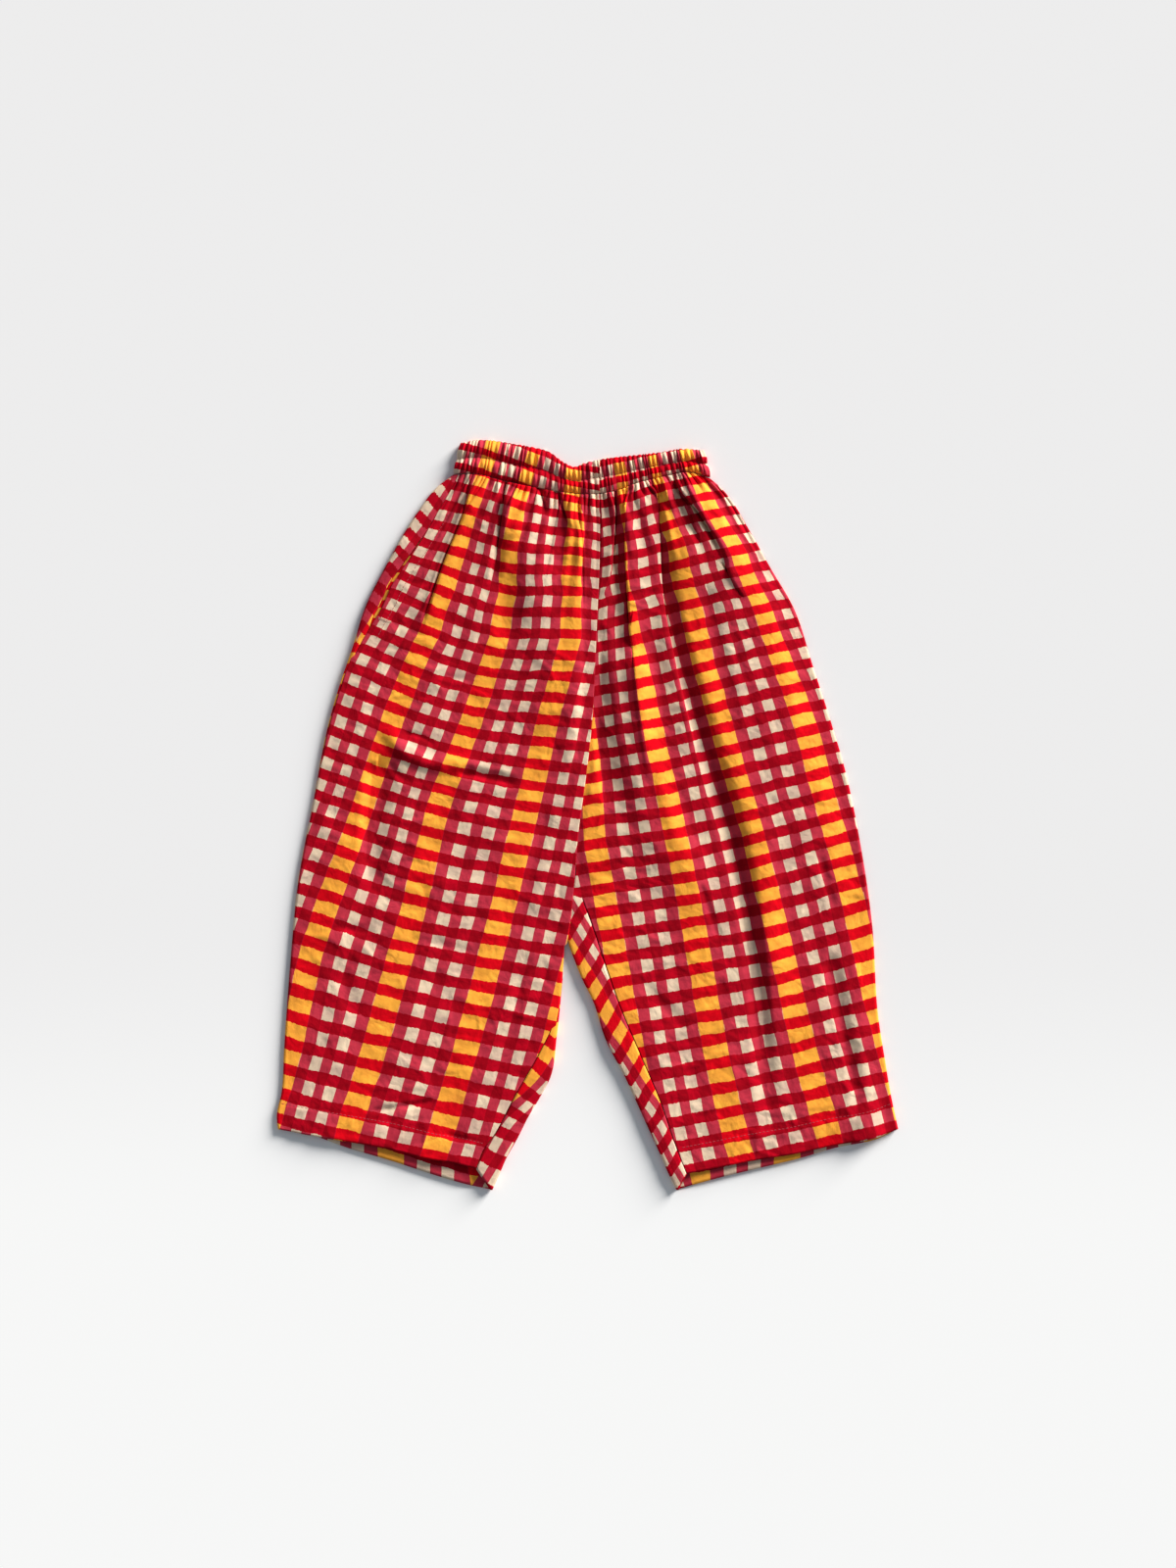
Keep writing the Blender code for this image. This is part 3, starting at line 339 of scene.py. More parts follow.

# The print of the backs where they show beside the seams, read from the photo in
# the same way: their stripes along the inner legs.
RIGHT_LEG_STRIPES = (
    (0.0, ((0, 565.7, 1050), (1, 556, 1075.7), (2, 542.5, 1098))),
    (0.3635, ((2, 553, 1110.7), (3, 535.4, 1129.9), (4, 517.8, 1145))),
    (0.6, ((6, 504, 1201.6), (4.6, 528, 1163))),
)
LEFT_LEG_STRIPES = (
    (0.0, ((0, 595, 989.6), (1, 608, 1009.5), (2, 619, 1032.6), (3, 632.6, 1053), (4, 647, 1071.7),
        (5, 660.5, 1094))),
    (0.3635, ((4, 637.4, 1091.6), (5, 648.6, 1110.7), (6, 663.7, 1130.7), (7, 676.5, 1149.8),
        (8, 686, 1170.5))),
)
LEG_STRIPES = {"right": RIGHT_LEG_STRIPES, "left": LEFT_LEG_STRIPES}
SIDE_STRIP_START = ((270, 0.24), (234, 0.217), (204, 0.165), (196, 0.105),
                    (150, 0.095), (100, 0.11))   # (height, repeats)
SIDE_STRIP_DROP = 0.15        # rows between the front's print and the strip's
SIDE_STRIP_RISE = 0.35        # rows that it climbs to each row's width outwards
# the underside's print, seen in the hem openings: photo x of an orange stripe, a photo
# point between two red rows, and the rows' slope
UNDER_PRINT = {"right": (306.7, 397.8, 1180.3, 0.31), "left": (711.0, 710.7, 1202.5, -0.22)}
UNDER_BLEND = 22.0            # where the strips' print runs out into the underside's

STRIP_SWELL = 0.4
STRIP_LIFT = 1.1
LOW_STRIP_LIFT = 0.7          # the inner legs' strips stand this much higher near the hem
LOW_STRIP_START = -90.0
LOW_STRIP_LENGTH = 170.0
HEM_LIFT = 1.8                # the backs' hems stand off the surface between their sides
HEM_LIFT_LENGTH = 26.0
BACK_RELIEF = 0.6             # share of the crumple that the backs' strips have
BACK_CLOTH = 0.6              # thickness drawn for the backs, the facing and the fronts' edges
FACING_CLOTH = 0.4
FRONT_CLOTH = 0.7
BACK_WIDTH = 200.0

STITCHES = {                  # pitch, length, radius of the thread, and lift off the cloth
    "hem_stitches": (3.2, 2.3, 0.22, 0.1),
    "pocket_stitches": (3.0, 2.2, 0.2, 0.1),
    "waist_stitches": (2.9, 1.9, 0.2, 0.1),
    "bar_tack": (0.7, 0.75, 0.17, 0.1),
    "thread_tail": (0.6, 0.7, 0.22, 0.5),
    "waist_glints": (4.6, 1.1, 0.2, 0.25),
}
STITCH_START = 0.3
STITCH_STRAY = 0.08           # how far each one strays, as a share of the pitch
STITCH_PROFILE = ((0.0, 0.35), (0.22, 0.95), (0.5, 1.0), (0.78, 0.95), (1.0, 0.35))  # (along, width)
STITCH_SIDES = 6
STITCH_FLATNESS = 0.8
TACK_ENDS = np.array(((387.0, 629.5), (400.0, 634.0)))     # the pocket's bar-tack, in the photo
TACK_STITCHES = 22
TACK_WIDTH = (-0.6, 3.0)      # across the bar-tack, in photo pixels
TAIL = ((609.2, 487.4), (611.6, 486.6), (613.6, 487.8), (613.9, 491.6))    # the thread tail
GLINTS = (-27.0, -8.0)        # places along +X where pale thread dashes stand in for glints of light at the waist: painted highlights

# ---- mesh resolution -----------------------------------------------------------------

FRONT_ROWS = 330
FRONT_COLUMNS = 236
EVEN_COLUMNS = 420            # the first, even pass over a row
BACK_ROWS = 220
UNDER_COLUMNS = 18
ROLL_COLUMNS = 7
STRIP_COLUMNS = 10
FACING_COLUMNS = 8
BAND_COLUMNS = 9              # to a gather
BAND_ROWS = 30
BAND_TURN = 12
BAND_BACK_COLUMNS = 60
LINE_STEPS = 400


# ---- curves and fields -----------------------------------------------------------

def photo(points):
    """Plan points in millimetres, from pixels of the photograph."""
    return (np.atleast_2d(np.array(points, dtype=float)) - PHOTO_MIDDLE) * (PIXEL, -PIXEL)


def to_photo(flat):
    """Pixels of the photograph, from plan points."""
    return flat / (PIXEL, -PIXEL) + PHOTO_MIDDLE


def length_run(points):
    """The length of a line from its start to each of its points."""
    return np.concatenate(([0.0], np.cumsum(np.linalg.norm(np.diff(points, axis=0), axis=1))))


def smooth_curve(points):
    """A smooth curve through the points, as a function of the fraction along it."""
    knots = np.array(points, dtype=float)
    run = length_run(knots)
    place = run / run[-1]
    slopes = np.gradient(knots, place, axis=0)

    def at(fraction):
        t = np.clip(np.asarray(fraction, dtype=float), 0.0, 1.0)
        k = np.clip(np.searchsorted(place, t, side="right") - 1, 0, len(place) - 2)
        span = (place[k + 1] - place[k])[..., None]
        s = (t - place[k])[..., None] / span
        keep = (1 + 2 * s) * (1 - s) ** 2
        return (keep * knots[k] + (1 - keep) * knots[k + 1]
                + span * (s * (1 - s) ** 2 * slopes[k] - s ** 2 * (1 - s) * slopes[k + 1]))
    return at


def ease(value):
    """Smooth step from 0 to 1."""
    t = np.clip(value, 0.0, 1.0)
    return t * t * (3.0 - 2.0 * t)


def by_height(table, y):
    """A table of (height along +Y, value), read at y."""
    heights, values = np.array(sorted(table), dtype=float).T
    return np.interp(y, heights, values)


def crossing_x(line, y):
    """Where a line of points crosses the height y."""
    order = np.argsort(line[:, 1])
    return np.interp(y, line[order, 1], line[order, 0])


def shares_through(count, place):
    """Even shares from 0 to 1, the nearest of them moved onto a place."""
    shares = np.linspace(0.0, 1.0, count)
    shares[np.abs(shares - place).argmin()] = place
    return shares


def panel_plan(outer, inner, top, bottom):
    """Plan of a panel between its four edges, at fractions a (outer to inner) of the row v."""
    def bow(edge, a, across):
        return edge(a) - (1 - across) * edge(0.0) - across * edge(1.0)

    def at(a, v):
        across = np.asarray(a, dtype=float)[:, None]
        sides = (1 - across) * outer(v) + across * inner(v)
        return sides + (1 - v) * bow(top, a, across) + v * bow(bottom, a, across)
    return at


class Fold:
    """One ridge or trough along a path."""

    def __init__(self, path, start, end, left, right, lean=0.0):
        self.start, self.end, self.left, self.right, self.lean = start, end, left, right, lean
        line = smooth_curve(photo(path))(np.linspace(0.0, 1.0, FOLD_STEPS + 1))
        self.base = line[:-1]
        self.step = line[1:] - self.base
        self.low = line[:, 1].min() - max(left, right)
        self.high = line[:, 1].max() + max(left, right)
        self.heading = self.step / np.linalg.norm(self.step, axis=1, keepdims=True)
        self.sideways = abs(line[-1, 0] - line[0, 0]) > abs(line[-1, 1] - line[0, 1])

    def shape(self, flat):
        """Height at plan points, and how far the crest leans."""
        offset = flat[:, None, :] - self.base
        along = np.clip((offset * self.step).sum(-1) / (self.step ** 2).sum(-1), 0.0, 1.0)
        distance = np.linalg.norm(offset - along[..., None] * self.step, axis=-1)
        nearest = distance.argmin(axis=1)
        each = np.arange(len(flat))
        place = (nearest + along[each, nearest]) / FOLD_STEPS
        step, gap = self.step[nearest], offset[each, nearest]
        cross = step[:, 0] * gap[:, 1] - step[:, 1] * gap[:, 0]
        width = np.where(cross > 0, self.right, self.left)
        across = np.clip(distance[each, nearest] / width, 0.0, 1.0)
        bump = FOLD_GAIN * np.cos(0.5 * math.pi * across) ** 2
        height = (self.start + (self.end - self.start) * place) * bump * ease((1.0 - place) / FOLD_END)
        if self.sideways:                       # a crease that starts in open cloth
            height = height * ease(place / FOLD_END + 0.25)
        heading = self.heading[nearest]
        return height, np.column_stack([-heading[:, 1], heading[:, 0]]) * (self.lean * height)[:, None]


def on_roll(distance):
    """How far a roll's upper side stands below the top level, in from its outline."""
    inside = np.clip(1.0 - distance / EDGE_ROLL, 0.0, 1.0)
    return EDGE_ROLL * (1.0 - np.sqrt(1.0 - inside ** 2))


def soft_noise(x, y, seed):
    """Smooth noise from about -1 to 1 over a lattice one unit wide."""
    column, row = np.floor(x).astype(np.int64), np.floor(y).astype(np.int64)
    total = 0.0
    for right_by in (0, 1):
        for up_by in (0, 1):
            mixed = (column + right_by) * 374761393 + (row + up_by) * 668265263 + seed * 1442695041
            mixed = (mixed ^ (mixed >> 13)) * 1274126177 & 0xFFFFFFFF
            angle = (mixed ^ (mixed >> 16)) * (2.0 * math.pi / 2 ** 32)
            off_x, off_y = x - column - right_by, y - row - up_by
            weight = ease(1.0 - np.abs(off_x)) * ease(1.0 - np.abs(off_y))
            total = total + weight * (np.cos(angle) * off_x + np.sin(angle) * off_y)
    return 1.5 * total


def creases(x, y, size, seed, sharpness=3.5):
    """Ridges, 1 along thin wandering lines and 0 between them."""
    wander = 0.5 * soft_noise(x / (1.6 * size), y / (1.6 * size), seed + 1)
    line = soft_noise(x / size + wander, y / size - wander, seed)
    return np.clip(1.0 - sharpness * np.abs(line), 0.0, 1.0) ** 2


def unevenness(flat, seed):
    """The relief of cloth that has been washed and worn; lengths in it are wave sizes."""
    x, y = flat.T
    soft = soft_noise(x / 34.0, y / 52.0, seed)
    middling = soft_noise(x / 15.0 + 0.4 * soft, y / 21.0, seed + 7)
    patch = ease(0.5 + 1.4 * soft_noise(x / 60.0, y / 45.0, seed + 9))
    sharp = creases(x, 1.5 * y, 30.0, seed + 11) - 0.8 * creases(0.7 * x, 1.6 * y, 22.0, seed + 17)
    fine = creases(x, 1.2 * y, 13.0, seed + 23, 2.5) - creases(x, 1.3 * y, 11.0, seed + 29, 2.5)
    layers = zip(CRUMPLE_SHARES, (soft, middling, patch * sharp, fine))
    return CRUMPLE * sum(share * layer for share, layer in layers)


def puffs(phase):
    """Rounded puffs with narrow grooves between them, one to a unit of phase."""
    return 2.0 * np.abs(np.cos(math.pi * phase)) - 1.2


class Gathers:
    """The waist's gathers: their phase, height and reach along the waistband's lower edge."""

    def __init__(self):
        rng = np.random.default_rng(11)
        steps = rng.uniform(*GATHER_SPREAD, GATHERS)
        self.edges = np.concatenate(([0.0], np.cumsum(steps))) / steps.sum()
        self.heights = rng.uniform(*GATHER_SPREAD, GATHERS + 1)
        self.reaches = rng.uniform(*GATHER_REACH, GATHERS + 1)
        self.long = rng.uniform(-1.0, 1.0, GATHERS // 2 + 1)

    def at(self, place, below):
        """Height of the gathers at shares of the waist, so far below the waistband."""
        phase = np.interp(place, self.edges, np.arange(GATHERS + 1))
        height = np.interp(place, self.edges, self.heights) * GATHER_HEIGHT
        reach = np.interp(place, self.edges, self.reaches)
        share, middle, width = GATHER_SWELL
        swell = 1.0 + share * math.exp(-((below - middle) / width) ** 2)
        short = 0.5 * height * puffs(phase) * (1.0 - ease(below / reach)) * swell
        pairs = np.interp(0.5 * phase, np.arange(len(self.long)), self.long)
        fall = ease((below - LONG_GATHER_FALL) / (3.0 * reach))
        rise = ease(below / LONG_GATHER_RISE) * (1.0 - fall)
        return short + LONG_GATHER * (pairs + 0.8 * np.cos(math.pi * phase)) * rise


gathers = Gathers()


def waist_edge(start, end, gap):
    """Waist edge of a panel between two places along the waistband's lower edge."""
    curve = smooth_curve(WAIST_LOW)
    return lambda a: curve(start + (end - start) * np.asarray(a, dtype=float)) - (0.0, gap)


def waist_fade(v, over):
    """0 at the waistband, 1 from a distance below it."""
    return float(ease(v * LEG_LENGTH / over))


def mouth(y):
    """How far the pocket's mouth is open at a height along the side seam."""
    return ease((POCKET_TOP - y) / POCKET_TOP_EASE) * ease((y - POCKET_BOTTOM) / POCKET_EASE)


class Leg:
    """The edges of one leg's two panels, its folds and its print."""

    def __init__(self, side):
        self.side = side
        self.inward = 1.0 if side == "right" else -1.0
        self.side_seam, self.inner_seam, self.front_hem, self.back_hem = (
            smooth_curve(table[side]) for table in (SIDE_SEAM, FRONT_INNER, FRONT_HEM, BACK_HEM))
        self.outline = {edge: smooth_curve(table[side])(np.linspace(0.0, 1.0, LINE_STEPS))
                        for edge, table in (("outer", OUTLINE), ("inner", BACK_INNER))}
        self.corner_drop = self.inner_seam(1.0)[1] - BACK_INNER[side][-1][1]
        self.folds = [Fold(*row) for row in FOLDS[side].values()]
        self.check = Check(STRIPES[side], SLITS[side])
        self.leg_check = Check(LEG_STRIPES[side], ())

    def turn(self, v, edge):
        """Share of the half turn that the back's edge has made at the row v."""
        seam = self.side_seam(v) if edge == "outer" else self.inner_seam(v)
        return float(by_height(TURNS[self.side, edge], seam[1]))

    def corner(self, v, edge):
        """Point of the outline at the row v."""
        if edge == "outer":
            y = self.side_seam(v)[1]
        else:
            y = self.inner_seam(v)[1]
            y = y - self.corner_drop * ease((HEM_CORNER_START - y) / HEM_CORNER_FADE)
        return np.array([crossing_x(self.outline[edge], y), y])

    def seam(self, v, edge):
        """Plan point of the front's edge at the row v."""
        point = self.side_seam(v) if edge == "outer" else self.inner_seam(v)
        if self.turn(v, edge) >= 1.0 or (edge == "inner" and point[1] > LEG_TOP[self.side]):
            return point
        step = EDGE_ROLL * (1.0 - math.cos(self.front_angle(v, edge)))
        start = self.corner(v, edge)[0]
        return np.array([start + step * self.inward * (1 if edge == "outer" else -1), point[1]])

    def front_angle(self, v, edge):
        """Angle on the roll of the front's edge: 0 at the outline, half pi on top."""
        back_angle = math.pi * (self.turn(v, edge) - 0.5)
        return min(max(back_angle + SEAM_ANGLE, 0.0), 0.5 * math.pi)

    def on_centre(self, v):
        """1 where the row ends at the centre seam, 0 where it ends on the leg."""
        above = self.inner_seam(v)[1] - LEG_TOP[self.side]
        return float(ease(above / CENTRE_FADE[self.side] + 1.0))

    def strip_lift(self, v, edge):
        """How far the rolled edge's strip is lifted at the row v."""
        below = LOW_STRIP_START - self.inner_seam(v)[1]
        low = 1.0 + LOW_STRIP_LIFT * float(ease(below / LOW_STRIP_LENGTH)) * (edge == "inner")
        return STRIP_LIFT * low * float(ease(2.0 * self.turn(v, edge) - 1.0))

    def inner_print(self, flat):
        """Cloth coordinates of the back's strip along the inner leg."""
        return self.leg_check.at(flat, flat)

    def side_print(self, flat):
        """Cloth coordinates of the back's strip beside the side seam."""
        line = self.side_seam(np.linspace(0.0, 1.0, LINE_STEPS))
        gap = np.linalg.norm(flat[:, None, :] - line, axis=-1)
        out = gap.min(axis=1)
        rows = self.check.at(line, line)[gap.argmin(axis=1), 1]
        start = by_height(SIDE_STRIP_START, flat[:, 1])
        return np.column_stack([start + out / REPEAT, rows - SIDE_STRIP_DROP + SIDE_STRIP_RISE * out / ROW])


class Check:
    """Cloth coordinates (repeats, rows) of a panel, as a smooth field over its plan."""

    def __init__(self, stripes, slits):
        along = np.linspace(0.0, 1.0, SLIT_STEPS)
        self.slits = [(smooth_curve(photo(path))(along), np.array(hidden, dtype=float).T, side)
                      for path, hidden, side in slits]
        crossings = [(column, *crossing) for column, rows in stripes for crossing in rows]
        values = np.array(crossings, dtype=float)[:, :2]
        self.places = photo([crossing[2:] for crossing in crossings])
        values[:, 0] -= self.hidden(self.places) / REPEAT
        kernel = self.kernel(self.places) + FIELD_EASE * np.eye(len(values))
        plane = np.column_stack([np.ones(len(values)), self.places / FIELD_SCALE])
        system = np.block([[kernel, plane], [plane.T, np.zeros((3, 3))]])
        self.weights = np.linalg.solve(system, np.concatenate((values, np.zeros((3, 2)))))

    def kernel(self, points):
        gap = np.linalg.norm(points[:, None, :] - self.places, axis=-1) / FIELD_SCALE
        return gap ** 2 * np.log(gap + 1e-9)

    def hidden(self, flat):
        """Cloth that the pleats to the left of each point have taken in."""
        total = np.zeros(len(flat))
        for line, (photo_y, amount), side in self.slits:
            beyond = (flat[:, 0] - crossing_x(line, flat[:, 1])) / SLIT_WIDTH + (0.0 if side > 0 else 1.0)
            total += np.interp(to_photo(flat)[:, 1], photo_y, amount) * ease(beyond)
        return total

    def at(self, seen, flat):
        """(repeats, rows) at the seen plan points, whose places before any lean are flat."""
        plane = np.column_stack([np.ones(len(seen)), seen / FIELD_SCALE])
        field = np.concatenate([self.kernel(seen), plane], axis=1) @ self.weights
        field[:, 0] += self.hidden(flat) / REPEAT
        return field


# ---- pieces of mesh -------------------------------------------------------------------

def add_object(name, data):
    """An object in the scene."""
    made = bpy.data.objects.new(name, data)
    bpy.context.scene.collection.objects.link(made)
    return made


def add_piece(name, points, faces, cloth_uv, material, node):
    """A smooth mesh piece that stands for a CAD node; points in millimetres."""
    mesh = bpy.data.meshes.new(name)
    placed = (np.asarray(points, dtype=float) + TO_ORIGIN) * METRES_PER_MM
    mesh.from_pydata(placed.tolist(), [], faces)
    if cloth_uv is not None:
        layer = mesh.uv_layers.new(name="cloth")
        corners = np.empty(len(mesh.loops), dtype=np.int32)
        mesh.loops.foreach_get("vertex_index", corners)
        layer.data.foreach_set("uv", np.asarray(cloth_uv, dtype=np.float32)[corners].ravel())
    mesh.shade_smooth()
    mesh.materials.append(material)
    mesh.update()
    piece = add_object(name, mesh)
    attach(piece, "root")
    if node:
        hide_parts(node)
    return piece


def grid_faces(rows, columns, first=0, flip=False, wrap=False):
    """Quads of a grid of points, its first point numbered first; wrap closes it both ways."""
    index = first + np.arange(rows * columns).reshape(rows, columns)
    if wrap:
        index = np.pad(index, ((0, 1), (0, 1)), mode="wrap")
    corners = (index[:-1, :-1], index[1:, :-1], index[1:, 1:], index[:-1, 1:])
    faces = np.stack(corners, axis=-1).reshape(-1, 4)
    return (faces[:, ::-1] if flip else faces).tolist()


def with_turned_edge(points, uv, normal, depth):
    """The grid with a ring of points added all round, set back by depth: the cloth's edge."""
    ring, ring_uv, ring_normal = (np.pad(part, ((1, 1), (1, 1), (0, 0)), mode="edge")
                                  for part in (points, uv, normal))
    border = np.ones(ring.shape[:2], dtype=bool)
    border[1:-1, 1:-1] = False
    ring[border] -= depth * ring_normal[border]
    return ring, ring_uv


def closed_sheet(outside, inside, uv):
    """Points, faces and cloth coordinates of a sheet with both faces and its edges."""
    rows, columns = outside.shape[:2]
    shift = rows * columns
    index = np.arange(shift).reshape(rows, columns)
    loop = np.concatenate((index[0], index[1:-1, -1], index[-1, ::-1], index[-2:0:-1, 0]))
    rim = np.column_stack([loop, np.roll(loop, -1), np.roll(loop, -1) + shift, loop + shift])
    faces = grid_faces(rows, columns) + grid_faces(rows, columns, shift, flip=True) + rim.tolist()
    return np.concatenate((outside, inside)).reshape(-1, 3), faces, np.concatenate((uv, uv)).reshape(-1, 2)


# ---- fronts ---------------------------------------------------------------------------

def front_section(leg, plan, v, a):
    """Plan before any lean, and middle of the wall, along the row v."""
    flat = plan(a, v)
    x, y = flat.T
    from_outer, from_inner = (np.abs(x - leg.seam(v, edge)[0]) for edge in ("outer", "inner"))
    on_centre = leg.on_centre(v)
    by_seam = 1.0 - ease((from_inner - CENTRE_SHELF[leg.side]) / CENTRE_BLEND[leg.side])
    near_centre = by_seam * on_centre
    free = ease(from_outer / SEAM_FLAT[leg.side, "outer"])
    free = free * np.maximum(ease(from_inner / SEAM_FLAT[leg.side, "inner"]), on_centre)
    below_waist = waist_fade(v, WAIST_EASE)
    rise, lean = by_height(LOFT, y), np.zeros_like(flat)
    for fold in leg.folds:
        if fold.low <= y.max() and fold.high >= y.min():
            height, crest_shift = fold.shape(flat)
            rise = rise + height * (FOLD_AT_WAIST + (1.0 - FOLD_AT_WAIST) * below_waist)
            lean = lean + crest_shift * below_waist
    rise = np.maximum(rise, LOWEST_RISE) * free
    rise = rise + (by_height(CENTRE_LOFT, y) - LAP_DROP[leg.side] - rise) * near_centre
    for edge, gap, on_leg in (("outer", from_outer, 1.0), ("inner", from_inner, 1.0 - on_centre)):
        lifted = leg.strip_lift(v, edge) * (1.0 - ease(gap / SEAM_FLAT[leg.side, edge]))
        rise = rise + (lifted - on_roll(np.abs(x - leg.corner(v, edge)[0]))) * on_leg
    if leg.side == "right":
        fade = 1.0 - ease((from_outer - FACING_WIDTH) / POCKET_LIFT_FADE)
        rise = rise + POCKET_LIFT * mouth(leg.seam(v, "outer")[1]) * fade
    moved = flat + lean * (free * (1.0 - near_centre))[:, None]
    return flat, np.column_stack([moved, TOP_LEVEL + rise])


def front_row(leg, plan, v):
    """One row of a front's middle surface, its points spread evenly along the folds."""
    even = np.linspace(0.0, 1.0, EVEN_COLUMNS)
    run = length_run(front_section(leg, plan, v, even)[1])
    crowd = waist_fade(v, CALM_WAIST)
    spread = crowd * run / run[-1] + (1.0 - crowd) * even
    stations = np.interp(np.linspace(0.0, 1.0, FRONT_COLUMNS), spread, even)
    stations[1] = min(stations[1], 0.4 * stations[2])
    stations[-2] = max(stations[-2], 1.0 - 0.4 * (1.0 - stations[-3]))
    flat, row = front_section(leg, plan, v, stations)
    edge_gap = np.min([np.abs(row[:, 0] - leg.seam(v, edge)[0]) for edge in ("outer", "inner")], axis=0)
    calm = ease(edge_gap / CALM_EDGE)
    start = WAIST_START[leg.side]
    waist_place = start + (CENTRE_AT_WAIST - start) * stations
    row[:, 2] += gathers.at(waist_place, v * LEG_LENGTH) * ease((edge_gap - 0.5) / 3.0)
    row[:, 2] += unevenness(flat, 3 if leg.side == "right" else 43) * calm * waist_fade(v, CALM_WAIST)
    below = (v - HEM_LINE) * LEG_LENGTH
    row[:, 2] += HEM_STEP * ease(below + 0.5)
    row[:, 2] -= HEM_GROOVE * math.exp(-(below / HEM_GROOVE_WIDTH) ** 2) * calm
    pucker = soft_noise(flat[:, 0] / HEM_PUCKER_SIZE, 0.0 * flat[:, 0], 41)
    row[:, 2] += HEM_PUCKER * pucker * math.exp(-(below / HEM_PUCKER_REACH) ** 2) * calm
    row[:, 2] = np.maximum(row[:, 2], TOP_LEVEL + LOWEST_RISE)
    return flat, row


def front_panel(leg):
    """Grid of one front: outer face, cloth coordinates, normals and row shares."""
    plan = panel_plan(lambda v: leg.seam(v, "outer"), lambda v: leg.seam(v, "inner"),
                      waist_edge(WAIST_START[leg.side], CENTRE_AT_WAIST, SEAM_GAP), leg.front_hem)
    shares = shares_through(FRONT_ROWS, HEM_LINE)
    flats, middle = (np.array(part) for part in zip(*(front_row(leg, plan, v) for v in shares)))
    normal = leg.inward * np.cross(np.gradient(middle, axis=0), np.gradient(middle, axis=1))
    normal[0, :, 1] = 0.0
    normal /= np.maximum(np.linalg.norm(normal, axis=-1, keepdims=True), 1e-9)
    for i, v in enumerate(shares):
        for column, edge, outward in ((0, "outer", -leg.inward), (-1, "inner", leg.inward)):
            if edge == "outer" or leg.on_centre(v) <= 0.5:
                angle = leg.front_angle(v, edge)
                normal[i, column] = (outward * math.cos(angle), 0.0, math.sin(angle))
    outside = middle + 0.5 * CLOTH_WALL * normal
    uv = leg.check.at(outside[..., :2].reshape(-1, 2), flats.reshape(-1, 2))
    return outside, uv.reshape(*outside.shape[:2], 2), normal, shares


# ---- backs, facing and waistband ---------------------------------------------------------

def rolled_side(leg, v, edge, near):
    """Points, normals and unrolled plan of a back's edge, from the underside to its seam."""
    corner, seam, turn = leg.corner(v, edge), leg.seam(v, edge), leg.turn(v, edge)
    inward = (near - corner) / np.linalg.norm(near - corner)
    gap = SEAM_GAP if edge == "outer" else LEG_SEAM_GAP
    if (leg.side, edge) == ("right", "outer"):
        gap = gap + (POCKET_OPEN - SEAM_GAP) * float(mouth(seam[1]))
    top = corner + inward * EDGE_ROLL
    strip, along_strip = 0.0, inward
    if turn >= 1.0:
        width = np.linalg.norm(seam - top)
        strip, along_strip = max(width - gap, 0.0), (seam - top) / max(width, 1e-6)
    arc = math.pi * EDGE_ROLL * turn
    turned = np.concatenate((FLAT_RUN + arc * np.linspace(0.0, 1.0, ROLL_COLUMNS + 1),
                             FLAT_RUN + arc + strip * np.linspace(0.0, 1.0, STRIP_COLUMNS + 1)[1:]))
    places = (1.0 - turn) * np.linspace(0.0, FLAT_RUN + arc + strip, len(turned)) + turn * turned
    beyond = (places - FLAT_RUN - arc)[:, None]
    on_strip = (beyond > 0.0) & (strip > 0.0)
    angle = np.clip((places - FLAT_RUN) / EDGE_ROLL, 0.0, None)[:, None]
    lift = leg.strip_lift(v, edge)
    flat_shift = EDGE_ROLL * max(0.0, 1.0 - 2.0 * turn) * np.clip(places / FLAT_RUN, 0.0, 1.0)
    under = np.minimum(places - FLAT_RUN, 0.0) + flat_shift
    out = EDGE_ROLL * (1.0 - np.sin(angle)) - under[:, None]
    unrolled = top + np.abs(beyond) * along_strip
    rolled_height = BOTTOM_LEVEL + (EDGE_ROLL + 0.5 * lift) * (1.0 - np.cos(angle))
    swell = STRIP_SWELL * np.sin(math.pi * beyond / max(strip, 1e-6))
    points = np.where(on_strip, np.hstack([unrolled, TOP_LEVEL + lift + swell]),
                      np.hstack([corner + inward * out, rolled_height]))
    normals = np.where(on_strip, (0.0, 0.0, 1.0), np.hstack([-inward * np.sin(angle), -np.cos(angle)]))
    return points, normals, unrolled


def back_row(leg, plan, v):
    """One row of a back, from its inner seam under the leg to its outer seam: middle of the
    wall, normals, unrolled plan and shares across."""
    width = np.linalg.norm(plan(np.array([1.0]), v) - plan(np.array([0.0]), v))
    step = (EDGE_ROLL + FLAT_RUN) / width
    near_outer, near_inner = plan(np.array((step, 1.0 - step)), v)
    inner = rolled_side(leg, v, "inner", near_inner)
    outer = rolled_side(leg, v, "outer", near_outer)
    places = np.linspace(1.0 - step, step, UNDER_COLUMNS + 2)[1:-1]
    flat = plan(places, v)
    middle = np.column_stack([flat, np.full(len(flat), BOTTOM_LEVEL)])
    under = (middle, np.tile((0.0, 0.0, -1.0), (len(flat), 1)), flat)
    parts = [np.concatenate((first[::-1], between, last))
             for first, between, last in zip(inner, under, outer)]
    return *parts, np.concatenate((np.ones(len(inner[0])), places, np.zeros(len(outer[0]))))


